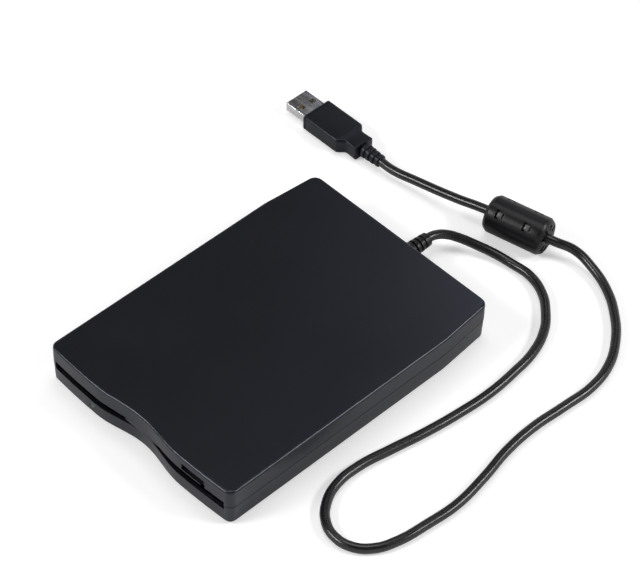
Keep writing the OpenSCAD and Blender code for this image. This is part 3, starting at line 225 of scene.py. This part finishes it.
def jacket(name, colour, rough=0.27):
    """Glossy extruded cord jacket with a faint waviness along its run."""
    g = Graph(name)
    ripple = g.noise(grain_mm=5, detail=1.0)
    dust = g.noise(grain_mm=0.5, detail=3.0)
    g.set(
        Base_Color=g.tones(ripple, colour, 0.8, 1.25),
        Roughness=g.remap(dust, rough - 0.04, rough + 0.08, MIDDLE),
        Normal=g.bump(ripple, depth_mm=0.008, strength=0.5, under=g.bump(dust, depth_mm=0.0012)),
        Specular_IOR_Level=0.6,
    )
    return g.material


def rubber(name, colour, rough=0.75, level=0.3):
    """Matt rubber with a fine grain and a pale bloom in patches."""
    g = Graph(name)
    grain = g.noise(grain_mm=0.18, detail=3.0)
    bloom = g.noise(grain_mm=3, detail=3.0)
    g.set(
        Base_Color=g.tones(bloom, colour, 1.0, 1.9, span=(0.35, 0.8)),
        Roughness=g.remap(grain, rough - 0.08, rough + 0.1, MIDDLE),
        Normal=g.bump(grain, depth_mm=0.02),
        Specular_IOR_Level=level,
    )
    return g.material


def sheet_steel(name, colour, rough=0.32, run=(1, 40, 40), depth=0.006, streak=1.0):
    """Rolled sheet with a mottle and its grain along one axis; streak scales how much the grain shows."""
    g = Graph(name)
    roll = g.noise(grain_mm=14, detail=4.0, stretch=run)
    bloom = g.remap(g.cells(grain_mm=4), 0.85, 1.15)
    g.set(
        Base_Color=g.tones(g.math("MULTIPLY", roll, bloom), colour, 1 - 0.18 * streak, 1 + 0.12 * streak),
        Metallic=1.0,
        Roughness=g.remap(roll, rough - 0.08 * streak, rough + 0.12 * streak, MIDDLE),
        Normal=g.bump(roll, depth),
        Anisotropic=0.4,
    )
    return g.material


def turned_metal(name, colour, rough=0.22, pitch=0.35, axis="Z"):
    """Turned metal: fine rings of the tool and a few stains."""
    g = Graph(name)
    rings = g.stripes(pitch, axis, distortion=0.4)
    stain = g.noise(grain_mm=6, detail=3.0)
    g.set(
        Base_Color=g.tones(stain, colour, 0.94, 1.04, STAINS),
        Metallic=1.0,
        Roughness=g.remap(stain, rough - 0.02, rough + 0.05, MIDDLE),
        Normal=g.bump(rings, depth_mm=0.008, strength=0.7),
    )
    return g.material


def wire(name, colour):
    """Drawn wire with faint marks of the die."""
    g = Graph(name)
    draw = g.noise(grain_mm=0.6, stretch=(1, 6, 6))
    g.set(
        Base_Color=g.tones(draw, colour, 0.75, 1.15),
        Metallic=1.0,
        Roughness=g.remap(draw, 0.2, 0.4, MIDDLE),
        Normal=g.bump(draw, depth_mm=0.004),
    )
    return g.material


def lens(name, colour):
    """Tinted clear light pipe with moulding swirls."""
    g = Graph(name)
    swirl = g.noise(grain_mm=0.9)
    g.set(
        Base_Color=g.tones(swirl, colour, 0.8, 1.1),
        Roughness=g.remap(swirl, 0.12, 0.3, MIDDLE),
        Normal=g.bump(swirl, depth_mm=0.01),
        Transmission_Weight=0.55,
        IOR=1.49,
    )
    return g.material


def circuit_board(name, colour):
    """Solder mask over traces, with the glass weave showing faintly."""
    g = Graph(name)
    warp = g.stripes(pitch_mm=0.5, axis="X")
    weft = g.stripes(pitch_mm=0.5, axis="Y")
    trace_scale = 1 / (3.1 * MM)
    traces = g.add("ShaderNodeTexBrick", Vector=g.where(), Scale=trace_scale, Mortar_Size=0.06).outputs["Fac"]
    weave = g.remap(g.math("MULTIPLY", warp, weft), 0.0, 0.15)
    mask = g.math("MAXIMUM", g.remap(traces, 0, 1), weave)
    g.set(
        Base_Color=g.tones(mask, colour, 1.0, 2.1, WHOLE),
        Roughness=g.remap(warp, 0.28, 0.4),
        Normal=g.bump(mask, depth_mm=0.03),
        Coat_Weight=0.4,
    )
    return g.material


def winding(name, colour):
    """Enamelled copper laid turn beside turn."""
    g = Graph(name)
    turns = g.stripes(pitch_mm=0.22, axis="Z", distortion=0.6)
    heat = g.noise(grain_mm=1.6, detail=3.0)
    g.set(
        Base_Color=g.tones(heat, colour, 0.6, 1.2),
        Metallic=0.85,
        Roughness=g.remap(turns, 0.25, 0.45),
        Normal=g.bump(turns, depth_mm=0.06),
        Coat_Weight=0.5,
    )
    return g.material


def sintered(name, colour, metal=0.0, rough=0.6):
    """Pressed powder: a dense speckle with tiny pits."""
    g = Graph(name)
    pits = g.cells(grain_mm=0.35)
    speck = g.noise(grain_mm=0.2, detail=3.0)
    g.set(
        Base_Color=g.tones(speck, colour, 0.7, 1.35, STAINS),
        Metallic=metal,
        Roughness=g.remap(speck, rough - 0.1, rough + 0.1, MIDDLE),
        Normal=g.bump(pits, depth_mm=0.03),
    )
    return g.material


def film(name, colour):
    """Amber film with copper tracks under it."""
    g = Graph(name)
    tracks = g.stripes(pitch_mm=0.5, axis="X")
    g.set(
        Base_Color=g.tones(tracks, colour, 1.0, 0.45, span=(0.35, 0.65)),
        Roughness=g.remap(g.noise(grain_mm=1.2), 0.25, 0.42),
        Normal=g.bump(tracks, depth_mm=0.02),
        Coat_Weight=0.3,
    )
    return g.material


CASE_BLACK = (0.0078, 0.008, 0.0104)
BLUISH = (0.8, 0.84, 1.0)

case_plastic = moulded("case_plastic", CASE_BLACK, rough=0.26, depth=0.006, level=0.5, tint=BLUISH,
                       mottle=0.06, gloss_drift=0.012)
door_plastic = moulded("door_plastic", (0.03, 0.03, 0.038), rough=0.4, grain=0.25, tint=BLUISH)
button_plastic = moulded("button_plastic", (0.008, 0.008, 0.01), rough=0.38, grain=0.25, tint=BLUISH)
relief_plastic = moulded("relief_plastic", (0.006, 0.006, 0.007), rough=0.38, grain=0.3, level=0.4)
plug_plastic = moulded("plug_plastic", (0.005, 0.005, 0.0066), rough=0.36, grain=0.3, depth=0.02,
                       tint=BLUISH)
ferrite_plastic = moulded("ferrite_plastic", (0.0045, 0.0045, 0.006), rough=0.36, grain=0.6, depth=0.005,
                          level=0.3)
# Painted highlight: the hooks belong to the near-black lower half, but are given a lighter grey
hook_painted_highlight = moulded("hook_painted_highlight", (0.10, 0.10, 0.105), rough=0.35, grain=0.25)
carriage_plastic = moulded("carriage_plastic", (0.03, 0.03, 0.034), rough=0.45, grain=0.4)
chip_plastic = moulded("chip_plastic", (0.012, 0.012, 0.013), rough=0.6, grain=0.15, depth=0.02)
cream_plastic = moulded("cream_plastic", (0.68, 0.62, 0.48), rough=0.4, grain=0.5, depth=0.006)
tongue_white = moulded("tongue_white", (0.75, 0.73, 0.68), rough=0.35, grain=0.5, depth=0.006)
cord_jacket = jacket("cord_jacket", (0.006, 0.006, 0.007))
wire_red = jacket("wire_red", (0.42, 0.02, 0.015), rough=0.35)
# Painted shade: a matt near-black for the seam groove's faces, standing in for the shadow between the covers
painted_seam_shade = rubber("painted_seam_shade", (0.0015, 0.0015, 0.0018), rough=0.9, level=0.05)
foot_rubber = rubber("foot_rubber", (0.012, 0.012, 0.013))
zinc_sheet = sheet_steel("zinc_sheet", (0.56, 0.57, 0.58), depth=0.003, streak=0.5)
bright_sheet = sheet_steel("bright_sheet", (0.45, 0.46, 0.48), rough=0.28, run=(40, 1, 40), depth=0.003,
                           streak=0.5)
nickel = sheet_steel("nickel", (0.66, 0.66, 0.67), rough=0.24, run=(0.4, 3, 3), depth=0.0005)
contact_gold = sheet_steel("contact_gold", (0.8, 0.56, 0.2), rough=0.2, run=(1, 30, 30))
screw_zinc = turned_metal("screw_zinc", (0.5, 0.51, 0.53), rough=0.3)
can_steel = turned_metal("can_steel", (0.5, 0.5, 0.51), rough=0.3, pitch=0.6, axis="Y")
rotor_steel = turned_metal("rotor_steel", (0.62, 0.62, 0.63), rough=0.24)
ground_rod = turned_metal("ground_rod", (0.72, 0.72, 0.73), rough=0.12, pitch=0.2, axis="Y")
screw_thread = turned_metal("screw_thread", (0.6, 0.6, 0.62), rough=0.2, pitch=0.75, axis="Y")
spring_wire = wire("spring_wire", (0.55, 0.56, 0.58))
green_lens = lens("green_lens", (0.16, 0.24, 0.18))
diode = lens("diode", (0.8, 0.85, 0.7))
magnet = sintered("magnet", (0.05, 0.05, 0.055))
ferrite_grey = sintered("ferrite_grey", (0.045, 0.046, 0.05), metal=0.2, rough=0.45)
bearing_bronze = sintered("bearing_bronze", (0.6, 0.42, 0.18), metal=1.0, rough=0.4)
head_ceramic = sintered("head_ceramic", (0.12, 0.1, 0.08), rough=0.25)
copper = winding("copper", (0.62, 0.26, 0.1))
amber_film = film("amber_film", (0.5, 0.24, 0.05))
board_green = circuit_board("board_green", (0.014, 0.065, 0.03))

FINISH = {
    case_plastic: ["top_cover", "bottom_cover"],
    door_plastic: ["slot_door"],
    button_plastic: ["eject_button"],
    green_lens: ["status_lens"],
    diode: ["status_light"],
    foot_rubber: ["rubber_feet"],
    screw_zinc: ["case_screws", "lever_post"],
    spring_wire: ["door_spring", "slide_springs"],
    zinc_sheet: ["drive_frame", "frame_lid"],
    bright_sheet: ["slide_plate", "disk_holder", "shutter_lever"],
    rotor_steel: ["spindle_rotor"],
    magnet: ["magnet_ring"],
    copper: ["stator"],
    bearing_bronze: ["spindle_bearing"],
    can_steel: ["stepper_motor"],
    ground_rod: ["guide_rod"],
    screw_thread: ["lead_screw"],
    carriage_plastic: ["head_carriage", "head_arm"],
    head_ceramic: ["lower_head", "upper_head"],
    amber_film: ["head_flex"],
    board_green: ["spindle_board", "controller_board", "interface_board"],
    chip_plastic: ["board_chips", "interface_parts", "switch_bodies"],
    cream_plastic: ["protect_plunger", "density_plunger", "disk_plunger"],
    wire_red: ["cord_wires"],
    relief_plastic: ["strain_relief"],
    cord_jacket: ["usb_cord"],
    ferrite_plastic: ["ferrite_upper", "ferrite_lower"],
    ferrite_grey: ["ferrite_core"],
    plug_plastic: ["plug_body"],
    nickel: ["plug_shell"],
    tongue_white: ["plug_tongue"],
    contact_gold: ["plug_contacts"],
}

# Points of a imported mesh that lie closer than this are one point
WELD_MM = 0.001
BEVEL_STEPS = 2
# Rounding of the sharp edges, in millimetres; a node that isn't named here keeps its edges
EDGE_ROUND = {
    0.15: ["top_cover", "slot_door", "eject_button", "rubber_feet", "plug_body"],
    0.12: ["bottom_cover", "strain_relief", "ferrite_upper", "ferrite_lower", "spindle_rotor",
           "stepper_motor", "head_carriage"],
    0.08: ["case_screws", "head_arm"],
    0.06: ["plug_shell", "slide_plate", "drive_frame", "frame_lid", "disk_holder", "board_chips",
           "interface_parts", "switch_bodies"],
    0.04: ["spindle_board", "controller_board", "interface_board"],
}


def paint(obj, material):
    """The object gets this material alone."""
    obj.data.materials.clear()
    obj.data.materials.append(material)


def smooth(obj, round_mm=0.0):
    """Smooth shading that keeps sharp edges, after a small rounding of them, all as modifiers."""
    mesh = obj.data
    packed_normals = mesh.attributes.get("custom_normal")
    if packed_normals:
        mesh.attributes.remove(packed_normals)
    mesh.polygons.foreach_set("use_smooth", [True] * len(mesh.polygons))
    weld = obj.modifiers.new("one_skin", "WELD")
    weld.merge_threshold = WELD_MM * MM
    if round_mm:
        bevel = obj.modifiers.new("edge_round", "BEVEL")
        bevel.width = round_mm * MM
        bevel.segments = BEVEL_STEPS
        bevel.limit_method = "ANGLE"
        bevel.angle_limit = math.radians(SHARP_ANGLE)
    split = obj.modifiers.new("keep_edges", "EDGE_SPLIT")
    split.split_angle = math.radians(SHARP_ANGLE)
    split.use_edge_sharp = False
    obj.modifiers.new("even_faces", "WEIGHTED_NORMAL")


rounding = {name: size for size, names in EDGE_ROUND.items() for name in names}
for material, names in FINISH.items():
    for name in names:
        paint(NODES[name], material)
        smooth(NODES[name], rounding.get(name, 0.0))


# ---- the cord: the CAD's own route, as one smooth curve ----
CORD_D = 4.0
CORD_ROUNDING = 6
CORD_STEPS = 10
EXIT = (1.5, 85.5, 8.8)
FERRITE = (21, 119, 8.2)
FERRITE_TURN = 13
FERRITE_HALF = 16.75
PLUG_END = (-46.5, 107, 3.8)
CORD_BENDS = [
    (1.5, 87, 8.8), (2.3, 90, 8.6), (4.5, 93.5, 7.92), (9, 97.3, 6.42), (15, 100.7, 4.58), (22, 103.7, 3.02),
    (30, 105.5, 2), (40, 106, 2), (50, 102.5, 2), (58, 96, 2), (64.5, 88, 2), (69.5, 76, 2), (71.5, 63, 2),
    (72.5, 48, 2), (71.5, 32, 2), (69.5, 16, 2), (66.5, 0, 2), (64, -15, 2), (64.5, -27, 2),
    (68.5, -36.5, 2), (75, -43, 2), (82.5, -45.5, 2), (90, -44, 2), (96, -38.5, 2), (99.5, -30, 2),
    (101.5, -16, 2), (102.5, -1, 2), (100.5, 15, 2), (97, 33, 2), (96, 48, 2), (97, 65, 2), (97.5, 80, 2),
    (94.5, 93, 2), (87.5, 105, 2), (78, 115, 2), (66.5, 123, 2.19), (55, 126.8, 3.49), (45, 127, 5.84),
]
CORD_FALL = [(-8, 112.5, 6.59), (-28, 109, 4.6), (-40, 107, 3.8)]


def cord_route():
    """Points from the case's relief, round both loops, straight through the ferrite and down to the plug."""
    turn = math.radians(FERRITE_TURN)
    along = Vector((math.cos(turn), math.sin(turn), 0)) * FERRITE_HALF
    middle = Vector(FERRITE)
    points = [EXIT, *CORD_BENDS, middle + along, middle - along, *CORD_FALL, PLUG_END]
    return [Vector(p) * MM for p in points]


def add_cord():
    """The cord as a round bevel along its route."""
    data = bpy.data.curves.new("cord", "CURVE")
    data.dimensions = "3D"
    data.bevel_depth = CORD_D * MM / 2
    data.bevel_resolution = CORD_ROUNDING
    data.resolution_u = CORD_STEPS
    data.use_fill_caps = True
    route = cord_route()
    spline = data.splines.new("BEZIER")
    spline.bezier_points.add(len(route) - 1)
    for point, place in zip(spline.bezier_points, route):
        point.co = place
        point.handle_left_type = point.handle_right_type = "AUTO"
    data.materials.append(cord_jacket)
    return put("cord", data)


def route_length(curve):
    """Length of the curve's middle line as it is drawn."""
    data = curve.data.copy()
    data.bevel_depth = 0
    bare = put("bare_line", data)
    bpy.context.view_layer.update()
    line = bare.evaluated_get(bpy.context.evaluated_depsgraph_get()).to_mesh()
    ends = [[line.vertices[i].co for i in edge.vertices] for edge in line.edges]
    total = sum((a - b).length for a, b in ends)
    bpy.data.objects.remove(bare)
    bpy.data.curves.remove(data)
    return total


cord = add_cord()
cord_length = route_length(cord)
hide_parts("usb_cord")
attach(cord, "case")


# ---- painted shade in the seam: the groove's own faces between the two covers, painted matt near-black ----
SEAM_Z = (9.85, 10.31)
# How far in from the case's outline the groove can lie
SEAM_REACH = 12
# Least part of a face's normal that points up or down for it to count as a ledge or a ceiling
LEDGE_UP = 0.3
CEILING_DOWN = -0.5


def darken_seam():
    """The lower cover's faces in the groove get a matt near-black, a painted shade for the shadow in the gap.
    """
    cover = NODES["bottom_cover"]
    cover.data.materials.append(painted_seam_shade)
    shade_index = len(cover.data.materials) - 1
    low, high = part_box("bottom_cover")
    for face in cover.data.polygons:
        x, y, z = face.center
        near_edge = min(x - low[0], high[0] - x, y - low[1], high[1] - y) < SEAM_REACH * MM
        if near_edge and SEAM_Z[0] * MM < z < SEAM_Z[1] * MM and faces_out(face):
            face.material_index = shade_index


def faces_out(face):
    """True for a wall that looks away from the case's middle and for the ledge below it."""
    if face.normal.z < CEILING_DOWN:
        return False
    middle = Vector((0, 0, face.center.z))
    return face.normal.z > LEDGE_UP or face.normal.dot(face.center - middle) > 0


darken_seam()


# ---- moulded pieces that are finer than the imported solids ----
def rounded_section(half_w, half_h, corner, steps=9):
    """Closed outline of a rounded rectangle, or of a circle where the three sizes are equal."""
    outline = []
    for quarter, (side, rise) in enumerate(((1, 1), (-1, 1), (-1, -1), (1, -1))):
        for step in range(steps):
            angle = math.radians(90 * (quarter + step / (steps - 1)))
            outline.append((side * (half_w - corner) + corner * math.cos(angle),
                            rise * (half_h - corner) + corner * math.sin(angle)))
    return outline


def mesh_piece(name, points, faces, material, body="case"):
    """A new piece that rides on a body."""
    mesh = bpy.data.meshes.new(name)
    mesh.from_pydata(points, [], faces)
    mesh.materials.append(material)
    mesh.polygons.foreach_set("use_smooth", [True] * len(mesh.polygons))
    mesh.set_sharp_from_angle(angle=math.radians(SHARP_ANGLE))
    obj = put(name, mesh)
    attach(obj, body)
    return obj


def loft_faces(rings, count, first=0):
    """Quads between rings of points, with a cap at either end."""
    faces = [tuple(first + i for i in reversed(range(count)))]
    for ring in range(rings - 1):
        for i in range(count):
            a, b = first + ring * count + i, first + ring * count + (i + 1) % count
            faces.append((a, b, b + count, a + count))
    faces.append(tuple(first + (rings - 1) * count + i for i in range(count)))
    return faces


# The overmould's places count from its front, next to the metal shell, towards the cord
PLUG_FRONT = -86.0
PLUG_TIP = -46.5
PLUG_MIDDLE = (107.0, 3.8)
BODY_HALF = (7.75, 3.8)
BODY_LENGTH = 19.6
BODY_SECTIONS = 6
CORNER = 1.3
# Front edge and the fine parting groove behind it: place, inset, corner
FRONT_PROFILE = [
    (0, 0.6, 0.9), (0.12, 0.25, 1.1), (0.45, 0, CORNER), (1.2, 0, CORNER), (1.3, 0.22, 1.1), (1.6, 0.22, 1.1),
    (1.7, 0, CORNER),
]
SHOULDER = 4.0
SHOULDER_SECTIONS = 8
NECK_HALF = (5.0, 3.55)
NECK_END = 29.1
NECK_FLARE = 0.25
NECK_SECTIONS = 5
# Rounding of the neck's rear edge: place before its end, inset, corner
NECK_PROFILE = [(0.1, 0.12, 1.25), (0, 0.4, 1.1)]
NECK_LIP = 0.3
RELIEF_RINGS = 4
RELIEF_R = 3.4
RELIEF_TAPER = 0.65
RELIEF_TIP_R = 2.2
# One ring of the relief: share of the pitch, depth below the ring's crest
RING_PROFILE = [(0.0, 0.75), (0.3, 0.75), (0.36, 0.2), (0.46, 0.0), (0.9, 0.0), (0.99, 0.25)]
FIRST_RING_GAP = 0.02


def body_sections():
    """Body and shoulder of the overmould: place, half width, half height, corner."""
    w, h = BODY_HALF
    neck_w, neck_h = NECK_HALF
    rows = [(place, w - inset, h - inset, corner) for place, inset, corner in FRONT_PROFILE]
    rows += [(BODY_LENGTH * k / BODY_SECTIONS, w, h, CORNER) for k in range(1, BODY_SECTIONS + 1)]
    for k in range(1, SHOULDER_SECTIONS + 1):
        t = k / SHOULDER_SECTIONS
        ease = t * t * (3 - 2 * t)
        rows.append((BODY_LENGTH + t * SHOULDER, w + (neck_w - w) * ease, h + (neck_h - h) * ease, CORNER))
    return rows


def neck_sections():
    """Neck of the overmould, a little wider at its rear: place, half width, half height, corner."""
    neck_w, neck_h = NECK_HALF
    start = BODY_LENGTH + SHOULDER
    rows = []
    for k in range(1, NECK_SECTIONS + 1):
        t = k / NECK_SECTIONS
        place = start + t * (NECK_END - NECK_LIP - start)
        rows.append((place, neck_w + NECK_FLARE * t * t, neck_h, CORNER))
    for before, inset, corner in NECK_PROFILE:
        rows.append((NECK_END - before, neck_w + NECK_FLARE - inset, neck_h - inset, corner))
    return rows


def relief_sections():
    """Ringed relief of the overmould, tapering to the cord: place, radius three times over."""
    length = PLUG_TIP - PLUG_FRONT
    pitch = (length - NECK_END) / RELIEF_RINGS
    rows = []
    for ring in range(RELIEF_RINGS):
        for share, depth in RING_PROFILE:
            turns = ring + share
            gap = FIRST_RING_GAP if turns == 0 else 0
            radius = RELIEF_R - RELIEF_TAPER * turns / RELIEF_RINGS - depth
            rows.append((NECK_END + pitch * turns + gap, radius, radius, radius))
    rows.append((length, RELIEF_TIP_R, RELIEF_TIP_R, RELIEF_TIP_R))
    return rows


def add_plug():
    """The plug's overmould with its shoulder, neck and ringed relief, lofted through its sections."""
    points = []
    rows = body_sections() + neck_sections() + relief_sections()
    y, z = PLUG_MIDDLE
    for place, half_w, half_h, corner in rows:
        section = rounded_section(half_w, half_h, corner)
        points += [mm(PLUG_FRONT + place, y + a, z + b) for a, b in section]
    faces = loft_faces(len(rows), len(section))
    plug = mesh_piece("plug_overmould", points, faces, plug_plastic)
    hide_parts("plug_body")
    return plug


CORE_R = 6.7
# Places of the two pairs of hooks along the ferrite, and how far they stand to either side of its top
HOOK_ALONG = (-6.8, 6.0)
HOOK_ANGLE = 40
HOOK_CORNER = 0.3
HOOK_CORNER_STEPS = 4
# A hook from its foot to its crown: height over the core, half length, half width
HOOK_PROFILE = [(-0.2, 1.15, 1.2), (0.7, 1.15, 1.2), (0.95, 1.0, 1.05), (1.05, 0.75, 0.8)]


def add_ferrite_hooks():
    """Latch hooks of the lower half, seen in the upper half's windows, in a grey far lighter than the halves:
    a painted highlight.
    """
    points, faces = [], []
    place = Matrix.Translation(Vector(mm(*FERRITE))) @ Matrix.Rotation(math.radians(FERRITE_TURN), 4, "Z")
    for along in HOOK_ALONG:
        for side in (-1, 1):
            turn = place @ Matrix.Rotation(math.radians(side * HOOK_ANGLE), 4, "X")
            first = len(points)
            for height, half_l, half_w in HOOK_PROFILE:
                section = rounded_section(half_l, half_w, HOOK_CORNER, HOOK_CORNER_STEPS)
                points += [tuple(turn @ Vector(mm(along + a, b, CORE_R + height))) for a, b in section]
            faces += loft_faces(len(HOOK_PROFILE), len(section), first)
    return mesh_piece("ferrite_hooks", points, faces, hook_painted_highlight)


THREAD_LEAD = 3.0
THREAD_DEPTH = 0.3
# Half width of the groove as a share of the lead
GROOVE_SHARE = 0.22
THREAD_STEP = 0.25
SCREW_SIDES = 20
# Length without a groove at either end, and the small chamfer of the ends
SCREW_PLAIN = 1.2
SCREW_CHAMFER = (0.01, 0.25)


def groove_depth(along, length, share_of_turn):
    """Depth of the screw's groove at a place along it and a share of a turn round it."""
    if min(along - SCREW_PLAIN, length - SCREW_PLAIN - along) <= 0:
        return 0.0
    phase = (along / THREAD_LEAD - share_of_turn) % 1.0
    return THREAD_DEPTH * max(0.0, 1 - abs(phase - 0.5) / GROOVE_SHARE)


def add_lead_screw():
    """The head's lead screw with its groove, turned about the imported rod's own axis."""
    low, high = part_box("lead_screw")
    middle = Vector([(a + b) / 2 for a, b in zip(low, high)])
    radius = (high[0] - low[0]) / 2 / MM
    length = (high[1] - low[1]) / MM
    chamfer, cut = SCREW_CHAMFER
    steps = [THREAD_STEP * k for k in range(1, int(length / THREAD_STEP))]
    stops = [0.0, chamfer, *steps, length - chamfer, length]
    points = []
    for along in stops:
        end_r = radius - (cut if along in (0.0, length) else 0.0)
        for k in range(SCREW_SIDES):
            turn = 2 * math.pi * k / SCREW_SIDES
            r = (end_r - groove_depth(along, length, k / SCREW_SIDES)) * MM
            points.append((middle.x + r * math.sin(turn), low[1] + along * MM, middle.z + r * math.cos(turn)))
    faces = loft_faces(len(stops), SCREW_SIDES)
    screw = mesh_piece("lead_screw_thread", points, faces, ground_rod, "screw")
    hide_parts("lead_screw")


def add_return_springs():
    """The slide's return springs, which run from the frame at the front to the slide at the back, as a
    smoothed copy of the imported mesh.
    """
    springs = put("return_springs", NODES["slide_springs"].data.copy())
    smooth(springs)
    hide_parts("slide_springs")
    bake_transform(springs)


plug = add_plug()
hooks = add_ferrite_hooks()
add_lead_screw()
add_return_springs()


# ---- floor, lamps and background ----
FLOOR_HALF = 4.0
FLOOR_GREY = (0.86, 0.86, 0.86)
# Light that the floor adds for the camera alone, so that it reads as the photograph's white paper
FLOOR_GLOW = 0.38
# Brightness of the world overhead, and the heights between which it fades from the white horizon
CEILING = 0.075
HORIZON = 0.12
OVERHEAD = 0.6
CENTRE = mm(0, 30, 0)
# Soft boxes: place, size, watts, colour
LAMPS = {
    "key": ((-0.22, 0.2, 1.5), (0.7, 0.7), 5, WHITE),
    "front_box": ((-0.57, -0.97, 0.93), (0.6, 0.25), 10, WHITE),
    "side_box": ((0.93, 0.77, 0.92), (0.6, 0.25), 10, WHITE),
    "sheen": ((-0.5, 0.95, 1.0), (0.3, 0.3), 0.6, (0.86, 0.9, 1)),
}


def add_floor():
    """White paper that keeps the part's shadow."""
    mesh = bpy.data.meshes.new("floor")
    near, far = -FLOOR_HALF, FLOOR_HALF
    corners = [(near, near, 0), (far, near, 0), (far, far, 0), (near, far, 0)]
    mesh.from_pydata(corners, [], [(0, 1, 2, 3)])
    put("floor", mesh)
    g = Graph("floor_paper")
    g.set(Base_Color=FLOOR_GREY, Roughness=0.8, Specular_IOR_Level=0.1)
    camera_ray = g.add("ShaderNodeLightPath").outputs["Is Camera Ray"]
    glow = g.add("ShaderNodeEmission", Color=WHITE, Strength=g.remap(camera_ray, 0, FLOOR_GLOW))
    both = g.add("ShaderNodeAddShader")
    g.feed(both.inputs[0], g.shader.outputs[0])
    g.feed(both.inputs[1], glow.outputs[0])
    g.feed(g.output.inputs["Surface"], both.outputs[0])
    mesh.materials.append(g.material)


def add_lamp(name, place, size, power, colour):
    """A rectangular soft box that looks at the drive."""
    data = bpy.data.lights.new(name, "AREA")
    data.shape = "RECTANGLE"
    data.size, data.size_y = size
    data.energy = power
    data.color = colour
    lamp = put(name, data)
    lamp.location = place
    lamp.rotation_euler = (Vector(CENTRE) - Vector(place)).to_track_quat("-Z", "Y").to_euler()


def add_world():
    """A white sweep at the horizon under a dim ceiling, the same for every ray."""
    world = bpy.data.worlds.new("studio")
    bpy.context.scene.world = world
    world.use_nodes = True
    tree = world.node_tree
    sky = tree.nodes["Background"]
    sky.inputs["Color"].default_value = (*WHITE, 1)
    split = tree.nodes.new("ShaderNodeSeparateXYZ")
    tree.links.new(tree.nodes.new("ShaderNodeTexCoord").outputs["Generated"], split.inputs[0])
    fade = tree.nodes.new("ShaderNodeMapRange")
    fade.interpolation_type = "SMOOTHSTEP"
    for key, value in (("From Min", HORIZON), ("From Max", OVERHEAD), ("To Min", 1.0), ("To Max", CEILING)):
        fade.inputs[key].default_value = value
    tree.links.new(split.outputs["Z"], fade.inputs["Value"])
    tree.links.new(fade.outputs["Result"], sky.inputs["Strength"])


add_floor()
add_world()
for name, values in LAMPS.items():
    add_lamp(name, *values)
bpy.context.scene.view_settings.view_transform = "Standard"
